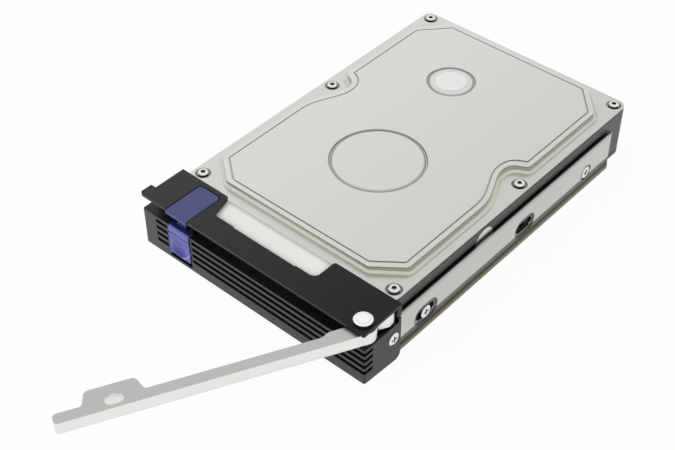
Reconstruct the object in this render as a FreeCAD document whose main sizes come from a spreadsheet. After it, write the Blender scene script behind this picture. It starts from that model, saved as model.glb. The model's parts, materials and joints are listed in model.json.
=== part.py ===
# Hot-swap caddy with a 3.5 inch drive.
#
# Frame: +Z up, +Y from the bezel towards the connectors, X across.
# The origin lies in the plane of the tray's underside, in the middle of the
# width, at the front face of the bezel.  All lengths are millimetres.
import FreeCAD
import Part
import Sketcher
import math
import os
from FreeCAD import Placement, Rotation, Vector

doc = FreeCAD.newDocument("DriveCaddy")
sheet = doc.addObject("Spreadsheet::Sheet", "Sizes")
sheet_row = 1


class Size:
    """A length that carries its value and the sheet formula it comes from."""

    def __init__(self, value, text):
        self.value = float(value)
        self.text = text

    def __add__(self, other):
        other = as_size(other)
        return Size(self.value + other.value, "(%s + %s)" % (self.text, other.text))

    def __sub__(self, other):
        other = as_size(other)
        return Size(self.value - other.value, "(%s - %s)" % (self.text, other.text))

    def __mul__(self, other):
        other = as_size(other)
        return Size(self.value * other.value, "(%s * %s)" % (self.text, other.text))

    def __truediv__(self, other):
        other = as_size(other)
        return Size(self.value / other.value, "(%s / %s)" % (self.text, other.text))

    def __radd__(self, other):
        return as_size(other) + self

    def __rsub__(self, other):
        return as_size(other) - self

    def __rmul__(self, other):
        return as_size(other) * self

    def __neg__(self):
        return Size(-self.value, "(0 - %s)" % self.text)


def as_size(number):
    if isinstance(number, Size):
        return number
    if number < 0:
        return Size(number, "(0 - %r)" % abs(float(number)))
    return Size(number, "%r" % float(number))


def size(name, number, meaning):
    """Write one driving size into the sheet and hand it back."""
    global sheet_row
    sheet.set("A%d" % sheet_row, name)
    sheet.set("B%d" % sheet_row, repr(number))
    sheet.set("C%d" % sheet_row, meaning)
    sheet.setAlias("B%d" % sheet_row, name)
    sheet_row += 1
    return Size(number, "Sizes." + name)


# ---------------------------------------------------------------- the drive
drive_width = size("drive_width", 101.6, "width of the drive")
drive_length = size("drive_length", 147.0, "length of the drive")
flange_height = size("flange_height", 23.1, "drive underside to the cover's rim")
plateau_rise = size("plateau_rise", 2.7, "cover's rim to its plateau")
cover_thick = size("cover_thick", 0.9, "thickness of the cover's rim")
gasket_thick = size("gasket_thick", 0.3, "thickness of the cover gasket")
gasket_inset = size("gasket_inset", 0.4, "gasket edge inside the cover edge")
cover_corner = size("cover_corner", 3.4, "corner radius of drive and cover")
hole_height = size("hole_height", 6.35, "side holes above the drive's underside")
hole_rear = size("hole_rear", 28.5, "rear side hole from the drive's rear")
hole_mid = size("hole_mid", 70.1, "middle side hole from the drive's rear")
hole_front = size("hole_front", 16.9, "front side hole from the drive's front")
side_hole_r = size("side_hole_r", 1.75, "radius of the threaded side holes")
side_hole_deep = size("side_hole_deep", 5.0, "depth of the side holes")
under_hole_side = size("under_hole_side", 3.18, "bottom holes from the drive's side")
under_hole_rear = size("under_hole_rear", 41.28, "rear bottom holes from the rear")
under_hole_step = size("under_hole_step", 44.45, "bottom hole spacing")
under_hole_deep = size("under_hole_deep", 4.0, "depth of the bottom holes")

# cover plateau: half of a symmetric outline, y from the drive's rear end
plateau_side = size("plateau_side", 7.6, "plateau's top from the drive's side")
plateau_rear = size("plateau_rear", 6.6, "plateau's rear edge from the rear end")
plateau_front = size("plateau_front", 7.8, "plateau's front edge from the drive's front")
rear_cut_x = size("rear_cut_x", 10.2, "rear chamfer of the plateau across")
rear_cut_y = size("rear_cut_y", 11.4, "rear chamfer of the plateau along")
front_cut_x = size("front_cut_x", 10.1, "front chamfer of the plateau across")
front_cut_y = size("front_cut_y", 8.0, "front chamfer of the plateau along")
bay_depth = size("bay_depth", 6.8, "how far the middle bays reach in")
bay_rear = size("bay_rear", 58.6, "rear mouth of a middle bay from the rear end")
bay_neck = size("bay_neck", 61.9, "rear wall of a middle bay from the rear end")
bay_floor_end = size("bay_floor_end", 71.5, "front end of a bay's floor")
bay_front = size("bay_front", 86.6, "front mouth of a middle bay from the rear end")
cut_lean = size("cut_lean", 0.6, "share of an offset that the chamfers take")
bay_lean = size("bay_lean", 0.2, "share of an offset that the bay's slope takes")
plateau_r = size("plateau_r", 0.6, "radius of the plateau's outer corners")
bay_neck_r = size("bay_neck_r", 8.0, "radius of a bay's rear corner")
bay_floor_r = size("bay_floor_r", 14.0, "radius at the front of a bay's floor")
bay_front_r = size("bay_front_r", 22.0, "radius of a bay's front mouth")
foot_out = size("foot_out", 3.3, "foot of the rim outside the plateau, front and rear")
foot_side = size("foot_side", 4.2, "foot of the rim outside the plateau, on the sides")
bead_out = size("bead_out", 2.4, "outer edge of the wide bead")
bead_in = size("bead_in", 0.35, "inner edge of the wide bead")
step_rise = size("step_rise", 1.25, "rise of the rim's lower step")
step_width = size("step_width", 0.85, "slope of the rim's lower step")
bead_rise = size("bead_rise", 2.85, "rise of the wide bead above the rim")
bead_round = size("bead_round", 0.45, "rounding of the wide bead")
line_deep = size("line_deep", 0.35, "depth of the fine line inside the bead")
line_wide = size("line_wide", 0.5, "width of that fine line")
big_ring_y = size("big_ring_y", 95.1, "spindle ring from the rear end")
big_ring_r = size("big_ring_r", 19.0, "radius of the spindle ring")
big_ring_round = size("big_ring_round", 1.3, "rounded shoulder inside the spindle ring")
ring_deep = size("ring_deep", 0.6, "depth of the round grooves")
ring_wall = size("ring_wall", 0.3, "lean of the round grooves' outer wall")
ring_floor = size("ring_floor", 0.6, "width of the round grooves' floor")
ring_rise = size("ring_rise", 0.45, "lean of the round grooves' inner wall")
small_ring_x = size("small_ring_x", 9.8, "small ring to the left of the middle")
small_ring_y = size("small_ring_y", 37.4, "small ring from the rear end")
small_ring_r = size("small_ring_r", 10.1, "radius of the small ring")
small_ring_round = size("small_ring_round", 0.9, "rounded shoulder inside the small ring")
disc_r = size("disc_r", 6.4, "radius of the white disc")
foil = size("foil", 0.12, "thickness of labels and seals")
label_left = size("label_left", 8.0, "front label from the drive's left side")
label_right = size("label_right", 14.0, "front label from the drive's right side")
label_low = size("label_low", 4.5, "front label above the drive's underside")
screw_side = size("screw_side", 4.0, "cover screws from the drive's side")
screw_rear = size("screw_rear", 3.8, "rear cover screws from the rear end")
screw_mid = size("screw_mid", 68.5, "middle cover screws from the rear end")
screw_front = size("screw_front", 5.0, "front cover screws from the drive's front")
cover_head_r = size("cover_head_r", 2.1, "radius of a cover screw's head")
cover_head_high = size("cover_head_high", 1.2, "height of a cover screw's head")
cover_seat_r = size("cover_seat_r", 2.7, "radius of the sunk seat of a cover screw")
cover_seat_deep = size("cover_seat_deep", 0.5, "depth of that seat")
cover_seat_slope = size("cover_seat_slope", 0.4, "slope round that seat")
cover_shank_r = size("cover_shank_r", 1.2, "shank radius of a cover screw")
cover_shank = size("cover_shank", 6.0, "shank length of a cover screw")
drive_socket_r = size("drive_socket_r", 1.15, "radius of a six-point socket")
seal_r = size("seal_r", 5.5, "radius of the round seal on the side")
seal_drop = size("seal_drop", 7.6, "centre of that seal below the cover's rim")
seam_high = size("seam_high", 2.0, "height of the strip under the side seam")
seam_deep = size("seam_deep", 0.35, "depth of the side seam")
seam_wide = size("seam_wide", 0.35, "height of the side seam")

# underside and rear of the drive
board_inset = size("board_inset", 6.0, "circuit board from the drive's side")
board_front = size("board_front", 105.0, "circuit board's front edge from the drive's rear")
board_rear = size("board_rear", 1.2, "circuit board from the drive's rear")
board_thick = size("board_thick", 1.2, "thickness of the circuit board")
board_deep = size("board_deep", 1.8, "depth of the board's recess")
board_gap = size("board_gap", 0.3, "gap round the board")
board_screw_in = size("board_screw_in", 4.5, "board screws from the board's edges")
board_screw_back = size("board_screw_back", 22.0, "rear board screws from the board's rear")
board_screw_r = size("board_screw_r", 2.4, "head radius of a board screw")
board_screw_high = size("board_screw_high", 0.5, "head height of a board screw")
board_shank_r = size("board_shank_r", 1.2, "shank radius of a board screw")
board_shank = size("board_shank", 4.0, "shank length of a board screw")
hub_r = size("hub_r", 13.5, "radius of the spindle motor's hub")
hub_gap = size("hub_gap", 0.6, "gap between hub and board")
hub_sunk = size("hub_sunk", 0.2, "hub above the drive's underside")
hub_ring_out = size("hub_ring_out", 9.7, "outer radius of the ring in the hub")
hub_ring_in = size("hub_ring_in", 4.0, "inner radius of the ring in the hub")
hub_ring_deep = size("hub_ring_deep", 0.5, "depth of the ring in the hub")
plug_length = size("plug_length", 42.0, "length of the drive's plug")
plug_deep = size("plug_deep", 8.0, "depth of the drive's plug")
plug_high = size("plug_high", 5.6, "height of the drive's plug")
plug_x = size("plug_x", 21.0, "plug's middle from the drive's middle")
plug_wall = size("plug_wall", 0.9, "wall of the plug")
plug_mouth = size("plug_mouth", 6.0, "depth of the plug's mouth")
tongue_thick = size("tongue_thick", 1.2, "thickness of the contact tongues")
power_tongue = size("power_tongue", 20.6, "width of the power tongue")
signal_tongue = size("signal_tongue", 10.4, "width of the signal tongue")
tongue_gap = size("tongue_gap", 3.2, "gap between the two tongues")
tongue_start = size("tongue_start", 2.0, "first tongue from the plug's inner wall")
tongue_back = size("tongue_back", 0.4, "tongues stop short of the plug's mouth")
plug_sunk = size("plug_sunk", 0.3, "plug above the drive's underside")

# ----------------------------------------------------------------- the tray
steel = size("steel", 1.0, "sheet thickness of the tray")
floor_gap = size("floor_gap", 2.3, "gap between tray floor and drive")
side_gap = size("side_gap", 0.5, "gap between tray wall and drive")
wall_height = size("wall_height", 20.2, "height of the tray's walls")
wall_short = size("wall_short", 12.0, "tray walls stop short of the drive's rear")
band_height = size("band_height", 7.9, "height of the wall's lower band")
band_inset = size("band_inset", 0.4, "depth of the fold along the lower band")
band_fold = size("band_fold", 4.4, "height of that fold")
band_extra = size("band_extra", 1.0, "band reaches past the wall's rear edge")
band_step = size("band_step", 3.2, "height of that step below the band's top")
bend_in = size("bend_in", 0.2, "inner radius of the bend")
front_recess_long = size("front_recess_long", 13.2, "front recess, length")
mid_recess_long = size("mid_recess_long", 12.7, "middle recess, length")
recess_high = size("recess_high", 8.8, "height of the long recesses")
rear_recess_r = size("rear_recess_r", 3.4, "radius of the rear recess")
slot_long = size("slot_long", 10.0, "length of the long slots")
slot_high = size("slot_high", 4.2, "height of the long slots")
rear_slot_r = size("rear_slot_r", 2.0, "radius of the rear hole")
window_side = size("window_side", 18.3, "floor windows from the tray's side")
window_front = size("window_front", 15.0, "first window from the drive's front")
window_bar = size("window_bar", 12.0, "floor bar between the windows")
window_rear = size("window_rear", 12.0, "floor bar behind the second window")
window_r = size("window_r", 5.0, "corner radius of the windows")

# side screws of the drive
wafer_r = size("wafer_r", 2.55, "head radius of a side screw")
wafer_shank_r = size("wafer_shank_r", 1.7, "shank radius of a side screw")
wafer_shank = size("wafer_shank", 4.6, "shank length of a side screw")
cross_wide = size("cross_wide", 0.7, "width of a cross recess")
cross_span = size("cross_span", 2.8, "span of a cross recess")
cross_deep = size("cross_deep", 1.2, "depth of a cross recess")

# ---------------------------------------------------------------- the bezel
bezel_depth = size("bezel_depth", 19.2, "depth of the bezel")
drive_gap = size("drive_gap", 0.25, "gap between bezel and drive")
bezel_top = size("bezel_top", 20.4, "height of the bezel's top")
bezel_low_front = size("bezel_low_front", 3.8, "underside of the bezel at the front")
bezel_low_back = size("bezel_low_back", 2.2, "underside of the bezel at the back")
bezel_wall = size("bezel_wall", 2.0, "front wall of the bezel")
bezel_side = size("bezel_side", 2.2, "side walls of the bezel")
bezel_roof = size("bezel_roof", 1.6, "top wall of the bezel")
bezel_floor = size("bezel_floor", 1.6, "bottom wall of the bezel")
bezel_fit = size("bezel_fit", 0.1, "clearance round the tray's ears")
bezel_edge = size("bezel_edge", 0.8, "radius of the bezel's upright edges")
bezel_heel = size("bezel_heel", 2.5, "radius of the bezel's rear lower edge")
pillar_wide = size("pillar_wide", 10.6, "width of the pivot pillar")
pillar_deep = size("pillar_deep", 10.0, "depth of the pivot pillar")
vent_high = size("vent_high", 1.7, "height of a slot")
vent_pitch = size("vent_pitch", 3.05, "spacing of the slots")
vent_count = 4
vent_top = size("vent_top", 1.2, "bezel top to the first slot")
vent_start = size("vent_start", 6.8, "plain left end of the bezel front")
vent_side = size("vent_side", 4.3, "how far the slots run along the side")
vent_deep = size("vent_deep", 3.0, "depth of the slots in the corner")
vent_rib = size("vent_rib", 0.7, "rib between the slots and the latch")
lug_wide = size("lug_wide", 2.6, "width of the lug at the right rear corner")
lug_long = size("lug_long", 1.2, "length of that lug")
lug_high = size("lug_high", 1.8, "height of that lug")
ear_front = size("ear_front", 10.4, "front end of the tray's ears")
ear_gap = size("ear_gap", 0.4, "gap above and below the ears")
ear_screw_back = size("ear_screw_back", 4.0, "side screw from the bezel's back")
ear_screw_down = size("ear_screw_down", 6.0, "side screw below the bezel's top")
ear_head_r = size("ear_head_r", 2.55, "head radius of a bezel screw")
ear_head_high = size("ear_head_high", 0.9, "head height of a bezel screw")
ear_seat = size("ear_seat", 0.4, "depth of the seat of a bezel screw")
ear_shank_r = size("ear_shank_r", 1.5, "shank radius of a bezel screw")
ear_shank_past = size("ear_shank_past", 1.0, "shank beyond the tray's ear")

# ------------------------------------------------------------ the top plate
plate_thick = size("plate_thick", 1.2, "sheet thickness of the top plate")
plate_under = size("plate_under", 7.1, "space between bezel and top plate")
plate_front = size("plate_front", 0.6, "top plate in front of the bezel")
plate_left = size("plate_left", 2.6, "left fold inside the bezel's side")
tab_back = size("tab_back", 5.2, "rear edge of the front left tab")
tab_in = size("tab_in", 0.2, "tab inside the bezel's side")
notch_wall = size("notch_wall", 1.35, "plate between the slab's slot and the notch")
notch_lean = size("notch_lean", 2.8, "lean of the notch's left edge")
notch_right = size("notch_right", 30.3, "notch from the bezel's right side")
notch_deep = size("notch_deep", 10.3, "depth of the notch")
notch_step_x = size("notch_step_x", 15.2, "half width of the notch's step")
notch_step = size("notch_step", 0.4, "depth of the notch's step")
notch_r = size("notch_r", 2.7, "corner radius of the notch")
plate_r = size("plate_r", 1.5, "corner radius of the top plate")
fold_wide = size("fold_wide", 5.4, "width of the plate's foot")
fold_gap = size("fold_gap", 0.4, "fold behind the front left tab")
flap_long = size("flap_long", 2.2, "length of the flap at the right rear corner")
flap_high = size("flap_high", 4.2, "reach of that flap below the plate")
flap_r = size("flap_r", 0.8, "radius of the flap's lower front corner")
rivet_r = size("rivet_r", 1.2, "shank radius of a plate rivet")
rivet_head_r = size("rivet_head_r", 2.0, "head radius of a plate rivet")
rivet_head = size("rivet_head", 0.6, "head height of a plate rivet")
rivet_first = size("rivet_first", 9.5, "first rivet from the bezel's front")
rivet_step = size("rivet_step", 6.5, "rivet spacing")
rivet_run = size("rivet_run", 3.2, "middle of the foot from its fold")

# ---------------------------------------------------------------- the latch
latch_side = size("latch_side", 19.35, "latch's middle from the bezel's left side")
pad_wide = size("pad_wide", 10.5, "width of the finger pad")
pad_gap = size("pad_gap", 0.5, "gap beside the finger pad")
pad_high = size("pad_high", 13.9, "height of the finger pad")
pad_above = size("pad_above", 0.5, "latch top above the bezel's top")
pad_proud = size("pad_proud", 0.4, "pad in front of the bezel")
press_travel = size("press_travel", 2.0, "travel of the release latch")
press_spare = size("press_spare", 0.1, "space left under the pressed pad")
pad_ridge = size("pad_ridge", 1.0, "height of a grip groove")
pad_ridge_deep = size("pad_ridge_deep", 0.5, "depth of a grip groove")
pad_ridge_step = size("pad_ridge_step", 2.1, "spacing of the grip grooves")
pad_ridge_top = size("pad_ridge_top", 3.1, "first groove below the latch top")
scoop_r = size("scoop_r", 6.0, "radius of the finger scoop")
scoop_deep = size("scoop_deep", 1.4, "depth of the finger scoop")
scoop_high = size("scoop_high", 4.6, "scoop's middle above the pad's lower end")
stem_side = size("stem_side", 1.9, "stem inside the pad's width, each side")
stem_deep = size("stem_deep", 8.0, "rear face of the stem")
stem_low = size("stem_low", 3.6, "stem's lower end above the pad's lower end")
wing_out = size("wing_out", 1.0, "wings beyond the pad's width, each side")
wing_thick = size("wing_thick", 1.2, "thickness of the wings")
wing_gap = size("wing_gap", 0.3, "gap behind the bezel's front wall")
wing_low = size("wing_low", 1.8, "wings' lower end above the pad's lower end")
stop_gap = size("stop_gap", 0.05, "gap under the roof that stops the wings")
peg_long = size("peg_long", 4.6, "catch peg across")
peg_deep = size("peg_deep", 3.2, "catch peg front to back")
peg_high = size("peg_high", 2.7, "height of the catch peg")
peg_ramp = size("peg_ramp", 1.5, "ramp on the front of the peg")
well_wall = size("well_wall", 1.0, "wall of the latch well")
well_gap = size("well_gap", 0.2, "gap beside and behind the latch")
spring_r = size("spring_r", 1.75, "mean radius of the latch spring")
wire_r = size("wire_r", 0.25, "radius of the spring's wire")
spring_turns = size("spring_turns", 5.0, "turns of the latch spring")
slab_wide = size("slab_wide", 10.8, "width of the blue slab")
slab_shift = size("slab_shift", 0.35, "slab's middle right of the latch's middle")
slab_gap = size("slab_gap", 0.35, "gap round the blue slab")
slab_back = size("slab_back", 16.9, "rear edge of the blue slab")
slab_front = size("slab_front", 1.3, "slab in front of the bezel")
slab_proud = size("slab_proud", 0.1, "slab above the top plate")
slab_r = size("slab_r", 1.8, "rear corner radius of the slab")
web_front = size("web_front", 11.5, "front face of the web that carries the slab")
web_r = size("web_r", 0.9, "radius of the web's pegs")
web_wide = size("web_wide", 5.4, "width of that web")
web_peg_step = size("web_peg_step", 2.5, "spacing of the web's pegs")
roof_open_left = size("roof_open_left", 0.3, "opening in the roof from the slab's web")
roof_open_right = size("roof_open_right", 1.7, "opening in the roof beyond the notch, right")
roof_open_r = size("roof_open_r", 1.0, "corner radius of that opening")
roof_open_deep = size("roof_open_deep", 4.6, "depth of the opening in the roof")

# ---------------------------------------------------------------- the lever
pivot_side = size("pivot_side", 4.6, "pivot from the bezel's right side")
pivot_back = size("pivot_back", 4.4, "pivot behind the bezel's front")
lever_above = size("lever_above", 1.6, "lever above the bezel")
lever_thick = size("lever_thick", 5.2, "thickness of the lever")
lever_open = size("lever_open", 62.5, "angle at which the lever stands open")
tip_past = size("tip_past", 0.6, "closed lever's tip past the bezel's left side")
bar_front = size("bar_front", 4.8, "pivot to the bar's front edge")
bar_wide = size("bar_wide", 4.1, "width of the bar")
root_wide = size("root_wide", 5.6, "width of the bar at the pivot")
root_long = size("root_long", 12.0, "length of the wide root")
root_r = size("root_r", 3.0, "radii where the root narrows")
tab_root_r = size("tab_root_r", 1.2, "radius at the roots of the grip tab")
tab_out = size("tab_out", 10.3, "outer root of the grip tab from the catch eye")
tab_out_top = size("tab_out_top", 8.3, "outer shoulder of the grip tab from the eye")
tab_in_top = size("tab_in_top", 8.4, "inner shoulder of the grip tab from the eye")
tab_in_low = size("tab_in_low", 10.1, "inner root of the grip tab from the eye")
tab_high = size("tab_high", 9.8, "grip tab from the bar's front edge")
tab_r = size("tab_r", 1.9, "shoulder radius of the grip tab")
tip_r = size("tip_r", 1.4, "corner radius of the lever's tip")
eye_y = size("eye_y", 3.6, "catch eye from the bar's front edge")
eye_long = size("eye_long", 6.6, "length of the catch eye")
eye_wide = size("eye_wide", 4.4, "width of the catch eye")
boss_r = size("boss_r", 4.8, "radius of the lever's round boss")
finger_long = size("finger_long", 12.4, "reach of the ejector finger")
finger_back = size("finger_back", 4.4, "rear edge of the finger")
finger_nose = size("finger_nose", 9.8, "start of the finger's nose")
finger_front = size("finger_front", 0.1, "front edge of the finger")
finger_neck = size("finger_neck", 5.5, "notch between boss and finger")
finger_root = size("finger_root", 1.2, "front edge of the finger at its notch")
finger_step = size("finger_step", 0.9, "slope of that notch")
finger_nose_r = size("finger_nose_r", 2.5, "radius of the finger's nose")
finger_drop = size("finger_drop", 1.9, "front edge to the finger's end face")
finger_rake = size("finger_rake", 0.4, "rake of the finger's end face")
finger_end_r = size("finger_end_r", 1.1, "radii of the finger's end")
pin_r = size("pin_r", 2.0, "shoulder radius of the lever pin")
pin_fit = size("pin_fit", 0.05, "running clearance on the pin")
pin_foot_r = size("pin_foot_r", 1.5, "radius of the pin in the bezel")
pin_foot = size("pin_foot", 8.0, "length of the pin in the bezel")
pin_head_r = size("pin_head_r", 3.45, "head radius of the lever pin")
pin_head = size("pin_head", 0.8, "head height of the lever pin")
pin_collar_r = size("pin_collar_r", 3.0, "collar radius under the pin's head")
pin_collar = size("pin_collar", 0.6, "collar height under the pin's head")
washer_r = size("washer_r", 4.4, "radius of the lever washer")
spacer_r = size("spacer_r", 3.8, "radius of the lever spacer")
play = size("play", 0.05, "running gap above and below the lever")

doc.recompute()

# ------------------------------------------------------- places that follow
half_drive = drive_width / 2
plateau_half = half_drive - plateau_side
screw_x = half_drive - screw_side
drive_low = steel + floor_gap
drive_front = bezel_depth + drive_gap
drive_back = drive_front + drive_length
rim_top = drive_low + flange_height
plateau_top = rim_top + plateau_rise
base_top = rim_top - cover_thick - gasket_thick
side_axis = drive_low + hole_height
wall_out = half_drive + side_gap + steel
wall_in = half_drive + side_gap
wall_end = drive_back - wall_short
bezel_in = wall_out + bezel_fit
bezel_out = bezel_in + bezel_side
cavity_low = bezel_low_front + bezel_floor
cavity_top = bezel_top - bezel_roof
plate_low = bezel_top + plate_under
plate_top = plate_low + plate_thick
ear_y = bezel_depth - ear_screw_back
ear_z = bezel_top - ear_screw_down
latch_x = bezel_out - latch_side
pad_left = -latch_x - pad_wide / 2
pad_right = -latch_x + pad_wide / 2
latch_top = bezel_top + pad_above
pad_low = latch_top - pad_high
channel_low = pad_low - press_travel - press_spare
slab_middle = -latch_x + slab_shift
slab_left = slab_middle - slab_wide / 2
slab_right = slab_middle + slab_wide / 2
notch_right_x = bezel_out - notch_right
channel_left = pad_left - pad_gap
channel_right = pad_right + pad_gap
wing_left = pad_left - wing_out
wing_right = pad_right + wing_out
well_back = stem_deep + well_gap
pivot_x = bezel_out - pivot_side
eye_x = pivot_x + latch_x
lever_tip = pivot_x + bezel_out + tip_past
lever_low = bezel_top + lever_above
lever_top = lever_low + lever_thick
front_hole_y = drive_front + hole_front
mid_hole_y = drive_back - hole_mid
rear_hole_y = drive_back - hole_rear


# ------------------------------------------------------------ drawing tools
def bind(thing, path, length):
    thing.setExpression(path, as_size(length).text)


def new_body(label):
    body = doc.addObject("PartDesign::Body", label)
    body.Label = label
    return body


def origin_feature(body, role):
    for feature in body.Origin.OriginFeatures:
        if feature.Role == role:
            return feature
    raise RuntimeError("no " + role)


AXIS_PLANE = {"X": "YZ_Plane", "Y": "XZ_Plane", "Z": "XY_Plane"}


def new_sketch(body, name, axis, place):
    """A sketch square to an axis at a place along it."""
    place = as_size(place)
    if axis == "Y":
        place = -place
    sketch = body.newObject("Sketcher::SketchObject", name)
    sketch.AttachmentSupport = [(origin_feature(body, AXIS_PLANE[axis]), "")]
    sketch.MapMode = "FlatFace"
    sketch.AttachmentOffset = Placement(Vector(0, 0, place.value), Rotation())
    bind(sketch, "AttachmentOffset.Base.z", place)
    return sketch


def hold(sketch, geometry, point, u, v):
    """Fix one point of a sketch at u, v, both bound to the sheet."""
    for kind, axis, where in (("DistanceX", -2, u), ("DistanceY", -1, v)):
        where = as_size(where)
        if abs(where.value) < 1e-9:
            sketch.addConstraint(Sketcher.Constraint("PointOnObject", geometry, point, axis))
        else:
            index = sketch.addConstraint(
                Sketcher.Constraint(kind, -1, 1, geometry, point, where.value))
            bind(sketch, "Constraints[%d]" % index, where)


def draw_circle(sketch, u, v, radius):
    u, v, radius = as_size(u), as_size(v), as_size(radius)
    circle = Part.Circle(Vector(u.value, v.value, 0), Vector(0, 0, 1), radius.value)
    index = sketch.addGeometry(circle, False)
    hold(sketch, index, 3, u, v)
    rule = sketch.addConstraint(Sketcher.Constraint("Radius", index, radius.value))
    bind(sketch, "Constraints[%d]" % rule, radius)


def draw_obround(sketch, u, v, length, height):
    """A slot with round ends, long way along u."""
    u, v, length, height = as_size(u), as_size(v), as_size(length), as_size(height)
    radius = height / 2
    reach = (length - height) / 2
    left = Vector((u - reach).value, v.value, 0)
    right = Vector((u + reach).value, v.value, 0)
    up = Vector(0, radius.value, 0)
    normal = Vector(0, 0, 1)
    half = math.pi / 2
    end_left = Part.ArcOfCircle(Part.Circle(left, normal, radius.value), half, 3 * half)
    end_right = Part.ArcOfCircle(Part.Circle(right, normal, radius.value), -half, half)
    one = sketch.addGeometry(end_left, False)
    two = sketch.addGeometry(Part.LineSegment(left - up, right - up), False)
    three = sketch.addGeometry(end_right, False)
    four = sketch.addGeometry(Part.LineSegment(right + up, left + up), False)
    sketch.addConstraint(Sketcher.Constraint("Tangent", one, 2, two, 1))
    sketch.addConstraint(Sketcher.Constraint("Tangent", two, 2, three, 1))
    sketch.addConstraint(Sketcher.Constraint("Tangent", three, 2, four, 1))
    sketch.addConstraint(Sketcher.Constraint("Tangent", four, 2, one, 1))
    hold(sketch, one, 3, u - reach, v)
    hold(sketch, three, 3, u + reach, v)
    rule = sketch.addConstraint(Sketcher.Constraint("Radius", one, radius.value))
    bind(sketch, "Constraints[%d]" % rule, radius)


def draw_outline(sketch, corners):
    """A closed outline of straight runs; a corner is (u, v) or (u, v, radius)."""
    count = len(corners)
    points = [Vector(as_size(c[0]).value, as_size(c[1]).value, 0) for c in corners]
    radii = [as_size(c[2]) if len(c) > 2 else None for c in corners]
    starts = []
    ends = []
    for i in range(count):
        if radii[i] is None:
            starts.append(points[i])
            ends.append(points[i])
            continue
        back = (points[i - 1] - points[i]).normalize()
        ahead = (points[(i + 1) % count] - points[i]).normalize()
        turn = math.acos(max(-1.0, min(1.0, back.dot(ahead))))
        trim = radii[i].value / math.tan(turn / 2)
        starts.append(points[i] + back * trim)
        ends.append(points[i] + ahead * trim)
    lines = []
    for i in range(count):
        after = (i + 1) % count
        lines.append(sketch.addGeometry(Part.LineSegment(ends[i], starts[after]), False))
    for i in range(count):
        before = lines[i - 1]
        after = lines[i]
        u, v = corners[i][0], corners[i][1]
        if radii[i] is None:
            sketch.addConstraint(Sketcher.Constraint("Coincident", before, 2, after, 1))
            hold(sketch, after, 1, u, v)
            continue
        mark = sketch.addGeometry(Part.Point(points[i]), True)
        hold(sketch, mark, 1, u, v)
        outward = points[i] - (starts[i] + ends[i]) * 0.5
        reach = math.sqrt(radii[i].value ** 2 + (points[i] - starts[i]).Length ** 2)
        centre = points[i] - outward.normalize() * reach
        begin = starts[i] - centre
        finish = ends[i] - centre
        first, second = 1, 2
        if begin.x * finish.y - begin.y * finish.x < 0:
            begin, finish = finish, begin
            first, second = 2, 1
        low = math.atan2(begin.y, begin.x)
        high = math.atan2(finish.y, finish.x)
        if high < low:
            high += 2 * math.pi
        circle = Part.Circle(centre, Vector(0, 0, 1), radii[i].value)
        index = sketch.addGeometry(Part.ArcOfCircle(circle, low, high), False)
        sketch.addConstraint(Sketcher.Constraint("PointOnObject", mark, 1, before))
        sketch.addConstraint(Sketcher.Constraint("PointOnObject", mark, 1, after))
        sketch.addConstraint(Sketcher.Constraint("Tangent", before, 2, index, first))
        sketch.addConstraint(Sketcher.Constraint("Tangent", index, second, after, 1))
        rule = sketch.addConstraint(Sketcher.Constraint("Radius", index, radii[i].value))
        bind(sketch, "Constraints[%d]" % rule, radii[i])


def draw(sketch, shapes):
    for shape in shapes:
        kind = shape[0]
        if kind == "circle":
            draw_circle(sketch, *shape[1:])
        elif kind == "obround":
            draw_obround(sketch, *shape[1:])
        else:
            draw_outline(sketch, shape[1])


def box_loop(u_low, u_high, v_low, v_high, radius=None):
    corners = [(u_low, v_low), (u_high, v_low), (u_high, v_high), (u_low, v_high)]
    if radius is not None:
        corners = [(u, v, radius) for u, v in corners]
    return ("outline", corners)


def extrude(kind, body, name, axis, low, high, shapes):
    low, high = as_size(low), as_size(high)
    sketch = new_sketch(body, name + "Sketch", axis, low)
    draw(sketch, shapes)
    feature = body.newObject("PartDesign::" + kind, name)
    feature.Profile = sketch
    length = high - low
    feature.Length = length.value
    bind(feature, "Length", length)
    feature.Reversed = (kind == "Pad") == (axis == "Y")
    body.Tip = feature
    return feature


def pad(body, name, axis, low, high, *shapes):
    """Material from low to high along an axis."""
    return extrude("Pad", body, name, axis, low, high, shapes)


def pocket(body, name, axis, low, high, *shapes):
    """A cut from low to high along an axis; it has to take something away."""
    doc.recompute()
    before = body.Tip.Shape.Volume
    feature = extrude("Pocket", body, name, axis, low, high, shapes)
    doc.recompute()
    if not feature.Shape.Volume < before - 1e-6:
        raise RuntimeError("%s cuts nothing" % name)
    return feature


def revolve(body, name, place_x, place_y, corners):
    """A round piece from a half profile of (radius, height) corners."""
    sketch = body.newObject("Sketcher::SketchObject", name + "Sketch")
    sketch.AttachmentSupport = [(origin_feature(body, "XZ_Plane"), "")]
    sketch.MapMode = "FlatFace"
    draw_outline(sketch, corners)
    feature = body.newObject("PartDesign::Revolution", name)
    feature.Profile = sketch
    feature.ReferenceAxis = (origin_feature(body, "Z_Axis"), [""])
    feature.Angle = 360
    body.Tip = feature
    return feature


def edges_where(body, test):
    doc.recompute()
    names = []
    for number, edge in enumerate(body.Tip.Shape.Edges, 1):
        if test(edge):
            names.append("Edge%d" % number)
    if not names:
        raise RuntimeError("no edge found on " + body.Label)
    return names


def round_edges(body, name, radius, test):
    names = edges_where(body, test)
    feature = body.newObject("PartDesign::Fillet", name)
    feature.Base = (feature.BaseFeature or body.Tip, names)
    feature.Radius = as_size(radius).value
    bind(feature, "Radius", radius)
    body.Tip = feature
    return feature


def bevel_edges(body, name, width, test):
    names = edges_where(body, test)
    feature = body.newObject("PartDesign::Chamfer", name)
    feature.Base = (feature.BaseFeature or body.Tip, names)
    feature.Size = as_size(width).value
    bind(feature, "Size", width)
    body.Tip = feature
    return feature


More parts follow.
